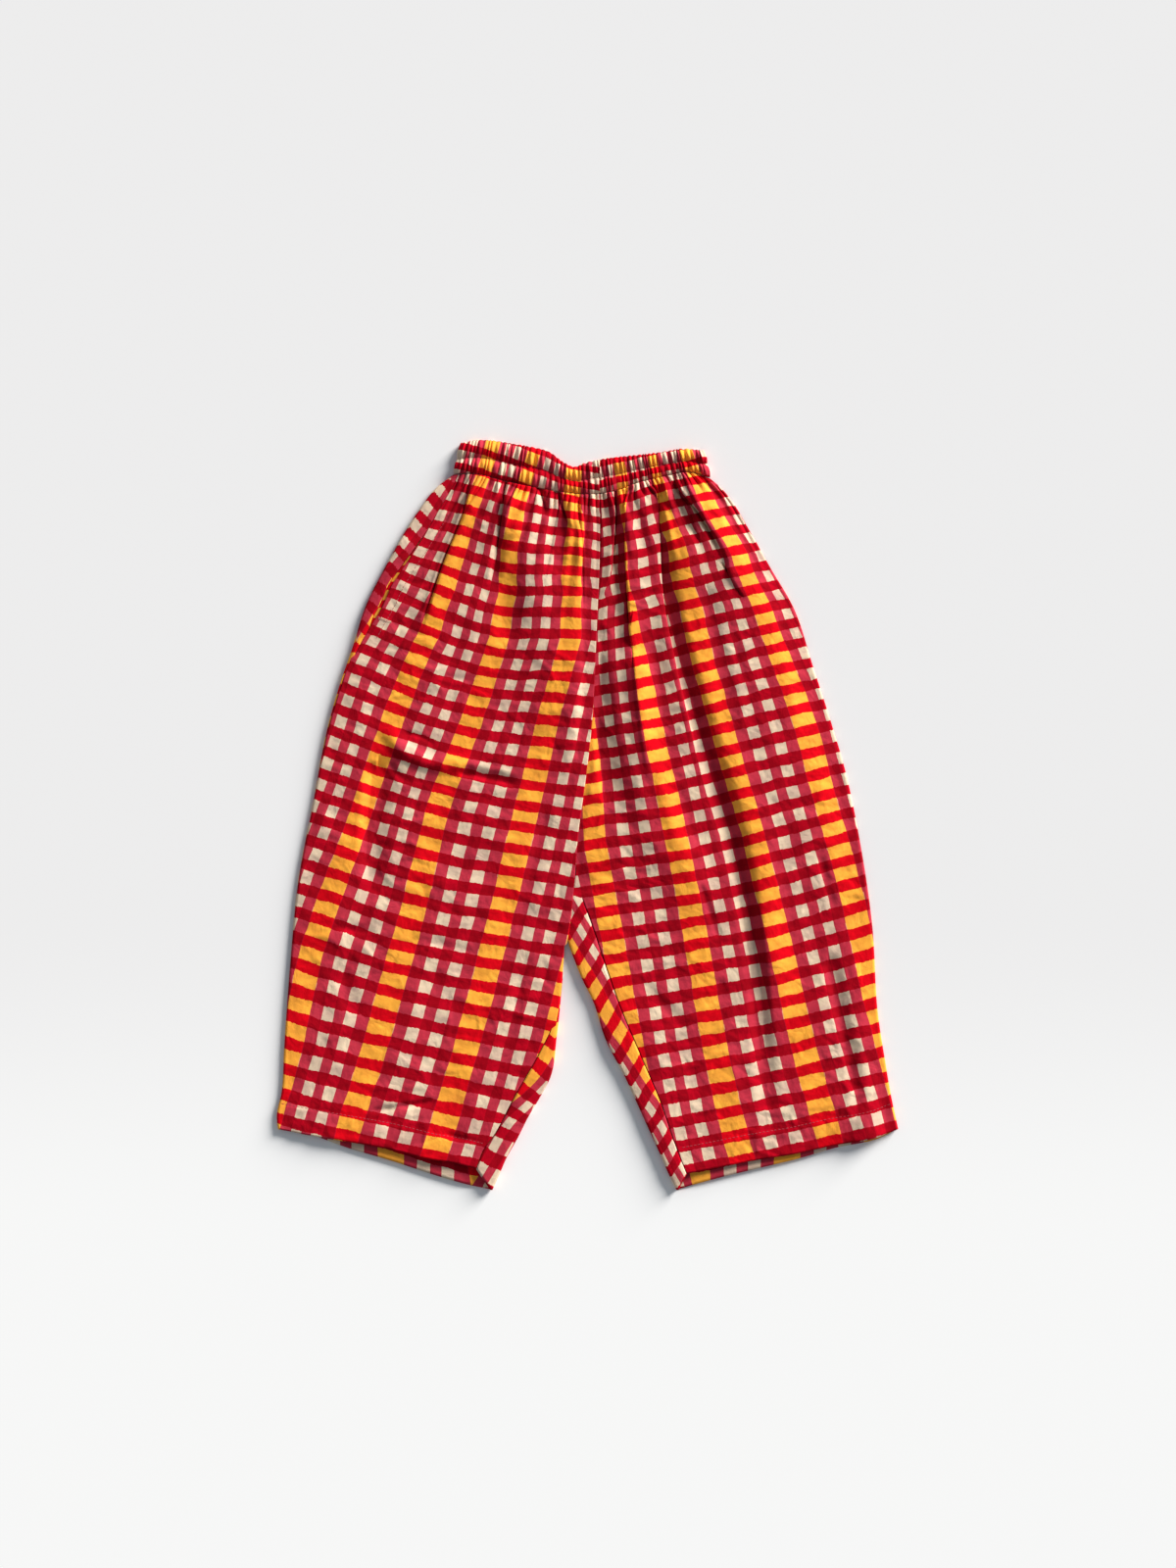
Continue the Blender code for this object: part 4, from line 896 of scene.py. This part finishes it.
def back_panel(leg):
    """Outer and inner faces of one back, and its cloth coordinates."""
    def side(edge):
        return lambda v: leg.corner(v, edge) - (0.0, (BACK_WAIST_GAP - SEAM_GAP) * (1.0 - v))

    start = 0.0 if leg.side == "right" else 1.0
    plan = panel_plan(side("outer"), side("inner"),
                      waist_edge(start, BACK_CENTRE_AT_WAIST, BACK_WAIST_GAP), leg.back_hem)
    down_leg = np.linspace(0.0, 1.0, BACK_ROWS)
    rows = [back_row(leg, plan, v) for v in down_leg]
    middle, normal, unrolled, across = (np.array(part) for part in zip(*rows))
    inside_leg = ease(6.0 * np.minimum(across, 1.0 - across))
    from_hem = (1.0 - down_leg[:, None]) * LEG_LENGTH
    middle[..., 2] += HEM_LIFT * inside_leg * ease(1.0 - from_hem / HEM_LIFT_LENGTH)
    flat, share = unrolled.reshape(-1, 2), across.ravel()
    relief = BACK_RELIEF * unevenness(flat, 83).reshape(middle.shape[:2])
    middle[..., 2] += np.where(normal[..., 2] > 0.9, relief, 0.0)
    outside = middle + 0.5 * CLOTH_WALL * normal
    stripe_x, row_x, row_y, slope = UNDER_PRINT[leg.side]
    x, y = to_photo(flat).T
    uv = np.column_stack([(x - stripe_x) * PIXEL / REPEAT, (y - row_y - slope * (x - row_x)) * PIXEL / ROW])
    corner = np.argmin(np.linalg.norm(flat - leg.corner(1.0, "inner"), axis=1))
    uv = uv + np.round(leg.inner_print(flat[corner:corner + 1]) - uv[corner])
    prints = [(share > 0.5, leg.inner_print(flat))]
    if leg.side == "right":
        prints.append((share < 0.5, leg.side_print(flat)))
    from_edge = np.minimum(share, 1.0 - share) * BACK_WIDTH
    for on_edge, strip_uv in prints:
        keep = np.where(on_edge, 1.0 - ease(from_edge / UNDER_BLEND), 0.0)[:, None]
        uv = keep * strip_uv + (1.0 - keep) * uv
    return outside, outside - BACK_CLOTH * normal, uv.reshape(*middle.shape[:2], 2)


def pocket_facing(leg):
    """The strip in the side pocket's mouth, with its cloth coordinates."""
    rows, uv = [], []
    across = np.linspace(0.0, FACING_WIDTH, FACING_COLUMNS)
    for v in np.linspace(0.0, 1.0, LINE_STEPS):
        seam = leg.seam(v, "outer")
        if mouth(seam[1]) >= FACING_SHOWS:
            open_by = POCKET_OPEN * mouth(seam[1]) - SEAM_GAP
            height = TOP_LEVEL + FACING_LEVEL + FACING_WAVE * np.sin(across * 1.3 + 0.05 * seam[1])
            rows.append(np.column_stack([seam[0] - open_by + across, np.full(len(across), seam[1]), height]))
            row = leg.check.at(seam[None, :], seam[None, :])[0, 1] + 0.35
            uv.append(np.column_stack([(across - 6.0) / REPEAT, np.full(len(across), row)]))
    outside = np.array(rows)
    return outside, outside - (0.0, 0.0, FACING_CLOTH), np.array(uv)


def waistband(right, left):
    """Points, faces and cloth coordinates of the casing, its front rows and their shares."""
    top, low = smooth_curve(WAIST_TOP), smooth_curve(WAIST_LOW)
    end = BAND_ROLL / abs(low(1.0)[0] - low(0.0)[0])
    front = np.linspace(end, 1.0 - end, GATHERS * BAND_COLUMNS + 1)
    turn = np.linspace(0.0, math.pi, BAND_TURN)[1:-1]
    back = np.linspace(1.0 - end, end, BAND_BACK_COLUMNS)
    across = np.concatenate((front, 1 - end + end * np.sin(turn), back, end - end * np.sin(turn)))
    out_x = np.concatenate((0 * front, np.sin(turn), 0 * back, -np.sin(turn)))
    out_z = np.concatenate((0 * front + 1.0, np.cos(turn), 0 * back - 1.0, -np.cos(turn)))
    on_front = out_z.clip(0.0)
    height = 0.5 * BAND_WALL + BAND_ROLL * (1 + out_z)

    def noise(scale, seed, down=0.0):
        return soft_noise(across * scale, 0.0 * across + down, seed)

    def wave(shift):
        return gathers.at(across + shift, 0.0) / (0.5 * GATHER_HEIGHT)

    upper, lower, at_panels = wave(0.004 * noise(30.0, 61)), wave(0.004 * noise(30.0, 62)), wave(0.0)
    shares = shares_through(BAND_ROWS, BAND_STITCH)
    rows, uv = [], []
    for q in (*shares, *shares[::-1]):
        outer_face = len(rows) < BAND_ROWS
        channel = q / BAND_STITCH if q < BAND_STITCH else (q - BAND_STITCH) / (1 - BAND_STITCH)
        swell = math.sin(math.pi * min(channel, 1.0)) ** 0.7
        below, meet = float(ease((q - BAND_STITCH) / 0.16 + 0.5)), float(ease((1.0 - q) / 0.25))
        gathered = (1 - below) * upper + below * (meet * lower + (1 - meet) * at_panels)
        reach = np.full(len(across), 0.5 * BAND_WALL if outer_face else -BAND_LINING)
        if outer_face:
            puff = BAND_PUFF * swell * (1 + 0.6 * noise(44.0, 3 + 2 * (q < BAND_STITCH)))
            reach += on_front * (puff + gathered * (0.55 + 0.45 * swell)
                                 + BAND_LUMPS * noise(75.0, 91, 5.0 * q) * swell - BAND_NIP * (1 - swell))
            if q == shares[0]:
                reach -= on_front * BAND_EDGE_NIP
        place = (1 - q) * top(across) + q * low(across)
        x, y = place[:, 0] + out_x * reach, place[:, 1] + BAND_RIPPLE * gathered * on_front * (q < 0.04)
        rows.append(np.column_stack([x, y, height + out_z * reach]))
        on_right = (place[:, 0] < low(CENTRE_AT_WAIST)[0])[:, None]
        field = np.where(on_right, right.check.at(place, place), left.check.at(place, place))
        field[:, 0] += np.where(out_z < 0, 0.4, 0.0)
        uv.append(field)
    faces = grid_faces(len(rows), len(across), wrap=True)
    fronts = np.array(rows[:BAND_ROWS])[:, :len(front)]
    return np.concatenate(rows), faces, np.concatenate(uv), fronts, shares


# ---- stitches ------------------------------------------------------------------------------

def dashes(name, paths, material):
    """Short thread stitches along paths of points, laid on the cloth."""
    pitch, length, radius, lift = STITCHES[name]
    points, faces = [], []
    rng = np.random.default_rng(len(name))
    for path in paths:
        path = np.asarray(path, dtype=float)
        run = length_run(path)
        for start in np.arange(STITCH_START, run[-1] - length, pitch):
            begin = start + rng.uniform(-STITCH_STRAY, STITCH_STRAY) * pitch
            a, b = (np.array([np.interp(t, run, path[:, axis]) for axis in range(3)])
                    for t in (begin, begin + length))
            heading = (b - a) / max(np.linalg.norm(b - a), 1e-6)
            side = np.cross(heading, (0.0, 0.0, 1.0))
            side /= max(np.linalg.norm(side), 1e-6)
            up = np.cross(side, heading)
            first, ring = len(points), np.arange(STITCH_SIDES)
            for share, width in STITCH_PROFILE:
                centre = a + (b - a) * share + up * (lift + 0.25 * radius * math.sin(math.pi * share))
                for turn in 2.0 * math.pi * ring / STITCH_SIDES:
                    out = side * math.cos(turn) + STITCH_FLATNESS * up * math.sin(turn)
                    points.append(centre + radius * width * out)
            last = first + STITCH_SIDES * (len(STITCH_PROFILE) - 1)
            for start_of_ring in range(first, last, STITCH_SIDES):
                near, after = start_of_ring + ring, start_of_ring + np.roll(ring, -1)
                faces += np.column_stack([near, after, after + STITCH_SIDES, near + STITCH_SIDES]).tolist()
            faces += [(first + ring[::-1]).tolist(), (last + ring).tolist()]
    return add_piece(name, points, faces, None, material, None)


def resting(grid, points):
    """Photo points laid on a grid of points of the cloth."""
    plan, flat = photo(points), grid.reshape(-1, 3)
    nearest = [np.argmin(np.linalg.norm(flat[:, :2] - point, axis=1)) for point in plan]
    return np.column_stack([plan, flat[nearest, 2]])


# ---- materials --------------------------------------------------------------------------

class Nodes:
    """A new material and short calls for its nodes. What feeds a socket is a number, a
    colour or another node's output."""

    def __init__(self, name):
        self.material = bpy.data.materials.new(name)
        self.material.use_nodes = True
        self.shader = self.material.node_tree.nodes["Principled BSDF"]

    def feed(self, node, inputs):
        for socket, value in inputs.items():
            if isinstance(value, (int, float)):
                node.inputs[socket].default_value = value
            elif isinstance(value, tuple):
                node.inputs[socket].default_value = (*value, 1.0)
            else:
                self.material.node_tree.links.new(value, node.inputs[socket])

    def add(self, kind, inputs, output=0, **settings):
        """A new node's output; its inputs are named or numbered."""
        node = self.material.node_tree.nodes.new(kind)
        for key, value in settings.items():
            setattr(node, key, value)
        self.feed(node, inputs)
        return node.outputs[output]

    def math(self, operation, a, b=0.0, c=0.0):
        return self.add("ShaderNodeMath", {0: a, 1: b, 2: c}, operation=operation)

    def split(self, vector, axis):
        return self.add("ShaderNodeSeparateXYZ", {0: vector}, axis)

    def noise(self, vector, scale, detail=2.0, roughness=0.5, distortion=0.0):
        return self.add("ShaderNodeTexNoise", {"Vector": vector, "Scale": scale, "Detail": detail,
                                               "Roughness": roughness, "Distortion": distortion}, "Fac")

    def ramp(self, factor, stops):
        """Colours that change at each stop without blending."""
        colour = self.add("ShaderNodeValToRGB", {"Fac": factor})
        band = colour.node.color_ramp
        band.interpolation = "CONSTANT"
        band.elements.remove(band.elements[-1])
        band.elements[0].position = stops[0][0]
        band.elements[0].color = (*stops[0][1], 1.0)
        for place, shade in stops[1:]:
            band.elements.new(place).color = (*shade, 1.0)
        return colour

    def mix(self, factor, a, b, blend="MIX"):
        return self.add("ShaderNodeMix", {0: factor, 6: a, 7: b}, 2, data_type="RGBA", blend_type=blend)


ORANGE = (1.0, 0.42, 0.048)
MAUVE = (0.52, 0.032, 0.056)
CREAM = (0.77, 0.58, 0.40)
RED_ON_ORANGE = (0.68, 0.001, 0.008)
RED_ON_MAUVE = (0.34, 0.0008, 0.008)
RED_ON_CREAM = (0.48, 0.001, 0.012)
HALO = (0.78, 0.36, 0.20)         # bare cloth beside an orange stripe
OVERLAP = (0.42, 0.004, 0.02)     # red where two inks meet
INK_DEPTH = (0.66, 0.5, 0.62)     # where the ink took heavily
THREAD_PITCH = 0.55               # the weave's, in millimetres


def stripes(orange, mauve, cream, edge):
    """Stops of one repeat, with its orange stripe in the middle and edge beside it."""
    half, halo, (cream_in, cream_out) = ORANGE_HALF, ORANGE_HALF + HALO_WIDTH, CREAM_STRIPE
    return [(0.0, mauve), (0.5 - cream_out, cream), (0.5 - cream_in, mauve), (0.5 - halo, edge),
            (0.5 - half, orange), (0.5 + half, edge), (0.5 + halo, mauve), (0.5 + cream_in, cream),
            (0.5 + cream_out, mauve)]


def block_print(name, red_half=RED_HALF):
    """Cotton block-printed by hand: orange, mauve and cream stripes under red rows."""
    n = Nodes(name)
    place = n.add("ShaderNodeUVMap", {}, uv_map="cloth")
    u, v = n.split(place, 0), n.split(place, 1)

    def cloth(layer=0.0, squeeze=1.0):
        """Millimetres on the cloth, in a layer of noise of its own."""
        return n.add("ShaderNodeCombineXYZ", {0: n.math("MULTIPLY", u, squeeze * REPEAT),
                                              1: n.math("MULTIPLY", v, ROW), 2: layer})

    def shifted(along, noise, reach):
        """A coordinate moved by noise, half its reach each way."""
        return n.math("ADD", along, n.math("MULTIPLY_ADD", noise, reach, -0.5 * reach))

    flat = cloth()
    u_print = shifted(u, n.noise(flat, 0.045, 1.0), 0.036)
    u_print = shifted(u_print, n.noise(flat, 0.55, 3.0, 0.6), 0.010)
    v_print = shifted(v, n.noise(cloth(9.0), 0.05, 2.0), 0.22)
    v_print = shifted(v_print, n.noise(cloth(5.0), 0.42, 3.0, 0.65), 0.10)
    column = n.math("FRACT", n.math("ADD", u_print, 0.5))
    plain = n.ramp(column, stripes(ORANGE, MAUVE, CREAM, MAUVE))
    haloed = n.ramp(column, stripes(ORANGE, MAUVE, CREAM, HALO))
    patch = n.math("GREATER_THAN", n.noise(flat, 0.035, 1.0), 0.6)
    over = n.ramp(column, stripes(RED_ON_ORANGE, RED_ON_MAUVE, RED_ON_CREAM, OVERLAP))
    row = n.math("ABSOLUTE", n.math("SUBTRACT", n.math("FRACT", v_print), 0.5))
    red = n.math("LESS_THAN", row, red_half)
    colour = n.mix(red, n.mix(patch, plain, haloed), over)
    depth = n.noise(cloth(3.0, 0.55), 0.085, 2.0, 0.6)
    deep = n.mix(1.0, colour, INK_DEPTH, "MULTIPLY")
    colour = n.mix(n.math("MULTIPLY_ADD", depth, 1.9, -0.72), colour, deep)
    tone = n.math("MULTIPLY_ADD", n.noise(flat, 0.05, 3.0, 0.55), 0.30, 0.90)
    mottle = n.math("MULTIPLY_ADD", n.noise(flat, 0.9, 3.0, 0.6), 0.24, -0.09)
    level = n.math("ADD", tone, mottle)
    grey = n.add("ShaderNodeCombineColor", {0: level, 1: level, 2: level})
    weave = n.math("ADD", *(n.math("SINE", n.math("MULTIPLY", along, size * 2 * math.pi / THREAD_PITCH))
                            for along, size in ((u, REPEAT), (v, ROW))))
    crumple = n.math("MULTIPLY", n.noise(flat, 0.07, 4.0, 0.55, 0.6), 1.1)
    relief = n.math("ADD", n.math("MULTIPLY", weave, 0.02), crumple)
    relief = n.math("ADD", relief, n.math("MULTIPLY", n.noise(flat, 1.4, 2.0), 0.10))
    bump = n.add("ShaderNodeBump", {"Strength": 1.0, "Distance": METRES_PER_MM, "Height": relief})
    n.feed(n.shader, {"Base Color": n.mix(1.0, colour, grey, "MULTIPLY"), "Normal": bump, "Roughness": 0.88,
                      "Specular IOR Level": 0.04, "Sheen Weight": 0.012, "Sheen Roughness": 0.5})
    return n.material


def thread(name, colour):
    """Sewing thread, darker in places."""
    n = Nodes(name)
    tone = n.noise(n.add("ShaderNodeTexCoord", {}, "Object"), 900.0, 2.0)
    dark = tuple(0.75 * c for c in colour)
    n.feed(n.shader, {"Base Color": n.mix(tone, dark, colour), "Roughness": 0.6, "Sheen Weight": 0.2})
    return n.material


# ---- building -----------------------------------------------------------------------------

legs = {side: Leg(side) for side in ("right", "left")}
print_cloth = block_print("front print")
fronts, pieces = {}, {}


def add_panel(node, points, faces, uv, slot, material=print_cloth):
    """The piece that stands for a node of cloth."""
    pieces[node] = add_piece(node + "_cloth", points, faces, uv, material, node)


for side, leg in legs.items():
    outside, uv, normal, shares = front_panel(leg)
    fronts[side] = outside
    ring, ring_uv = with_turned_edge(outside, uv, normal, FRONT_CLOTH)
    faces = grid_faces(*ring.shape[:2], flip=side == "left")
    add_panel("front_" + side, ring.reshape(-1, 3), faces, ring_uv.reshape(-1, 2), "front_cloth")
for side, leg in legs.items():
    add_panel("back_" + side, *closed_sheet(*back_panel(leg)), "back_cloth")
add_panel("pocket_facing", *closed_sheet(*pocket_facing(legs["right"])), "facing_cloth")
*band, band_front, band_shares = waistband(legs["right"], legs["left"])
add_panel("waistband", *band, "waistband_cloth", block_print("waistband print", BAND_RED_HALF))

red_thread = thread("red thread", (0.42, 0.03, 0.05))
# pale thread for the bar-tack and the thread tail, also used for the painted glints at the waist
pale_thread_and_glints = thread("pale thread and glints", (0.62, 0.36, 0.26))

hem_row = np.abs(shares - HEM_LINE).argmin()
hem_paths = [grid[hem_row, 3:-3] for grid in fronts.values()]
hem_stitches = dashes("hem_stitches", hem_paths, red_thread)
pocket_path = [row[np.abs(row[:, 0] - row[0, 0] - POCKET_STITCH).argmin()] for row in fronts["right"]
               if POCKET_BOTTOM - POCKET_STITCH_ENDS[0] < row[0, 1] < POCKET_TOP + POCKET_STITCH_ENDS[1]]
pocket_stitches = dashes("pocket_stitches", [pocket_path], red_thread)
channel_row = np.abs(band_shares - BAND_STITCH).argmin()
waist_paths = [band_front[channel_row], band_front[-1]]
waist_stitches = dashes("waist_stitches", waist_paths, red_thread)
tack = TACK_ENDS[0] + np.linspace(0.0, 1.0, TACK_STITCHES)[:, None] * (TACK_ENDS[1] - TACK_ENDS[0])
tack[1::2] += TACK_WIDTH
bar_tack = dashes("bar_tack", [resting(fronts["right"], tack)], pale_thread_and_glints)
tail = resting(band_front, smooth_curve(TAIL)(np.linspace(0.0, 1.0, 9)))
thread_tail = dashes("thread_tail", [tail], pale_thread_and_glints)
# painted highlights: pale dashes on the waistband's lower stitch line stand in for glints of light
glint_row = [point for point in band_front[-1] if GLINTS[0] < point[0] < GLINTS[1]]
glints = dashes("waist_glints", [glint_row], pale_thread_and_glints)

# ---- stage, in metres -----------------------------------------------------------------------

FLOOR = 3.0                           # half its side
FLOOR_BELOW = 0.0003
# painted light: the floor is coloured paler towards -Y, standing in for brighter light near the lower edge
# of the view
FLOOR_PAINTED_DIM = (0.885, 0.867, 0.860)
FLOOR_PAINTED_BRIGHT = (0.970, 0.957, 0.944)
FLOOR_PAINTED_LIGHT_SPAN = (-0.07, -0.34)      # places along +Y between which the painted light makes it paler
LENS = 85.0
HALF_SENSOR = 18.0
KEY_AZIMUTH = math.radians(44.0)      # from +X towards +Y
KEY_HEIGHT = math.radians(18.0)
KEY_SIZE = math.radians(28.0)
KEY_ENERGY = 7.3
KEY_COLOUR = (1.0, 0.98, 0.95)
SKY_COLOUR = (0.80, 0.90, 1.0, 1.0)
SKY_STRENGTH = 0.30

floor_mesh = bpy.data.meshes.new("floor")
corners = [(x * FLOOR, y * FLOOR, 0.0) for x, y in ((-1, -1), (1, -1), (1, 1), (-1, 1))]
floor_mesh.from_pydata(corners, [], [(0, 1, 2, 3)])
paper = Nodes("floor")
along_y = paper.split(paper.add("ShaderNodeTexCoord", {}, "Object"), 1)
# painted light: the floor's colour pales towards -Y, where the view's light is brighter
painted_light_share = paper.add("ShaderNodeMapRange", {"Value": along_y, "From Min": FLOOR_PAINTED_LIGHT_SPAN[0],
                                            "From Max": FLOOR_PAINTED_LIGHT_SPAN[1]}, interpolation_type="SMOOTHSTEP")
paper.feed(paper.shader, {"Base Color": paper.mix(painted_light_share, FLOOR_PAINTED_DIM, FLOOR_PAINTED_BRIGHT), "Roughness": 0.95,
                          "Specular IOR Level": 0.0})
floor_mesh.materials.append(paper.material)
floor = add_object("floor", floor_mesh)
floor.location.z = -FLOOR_BELOW

camera = add_object("camera", bpy.data.cameras.new("camera"))
camera.data.lens = LENS
camera.data.sensor_width = 2 * HALF_SENSOR
aim = (photo((PHOTO_SIZE[0] / 2, PHOTO_SIZE[1] / 2))[0] + TO_ORIGIN[:2]) * METRES_PER_MM
camera.location = (*aim, 0.5 * PHOTO_SIZE[1] * PIXEL * METRES_PER_MM * LENS / HALF_SENSOR)
bpy.context.scene.camera = camera

key = add_object("key", bpy.data.lights.new("key", "SUN"))
key.data.energy = KEY_ENERGY
key.data.color = KEY_COLOUR
key.data.angle = KEY_SIZE
towards = Vector((math.cos(KEY_AZIMUTH) * math.cos(KEY_HEIGHT), math.sin(KEY_AZIMUTH) * math.cos(KEY_HEIGHT),
                  math.sin(KEY_HEIGHT)))
key.rotation_euler = towards.to_track_quat("Z", "Y").to_euler()
key.location = towards * 2.0
world = bpy.data.worlds.new("studio")
bpy.context.scene.world = world
world.use_nodes = True
sky = world.node_tree.nodes["Background"]
sky.inputs["Color"].default_value = SKY_COLOUR
sky.inputs["Strength"].default_value = SKY_STRENGTH
bpy.context.scene.view_settings.view_transform = "Standard"
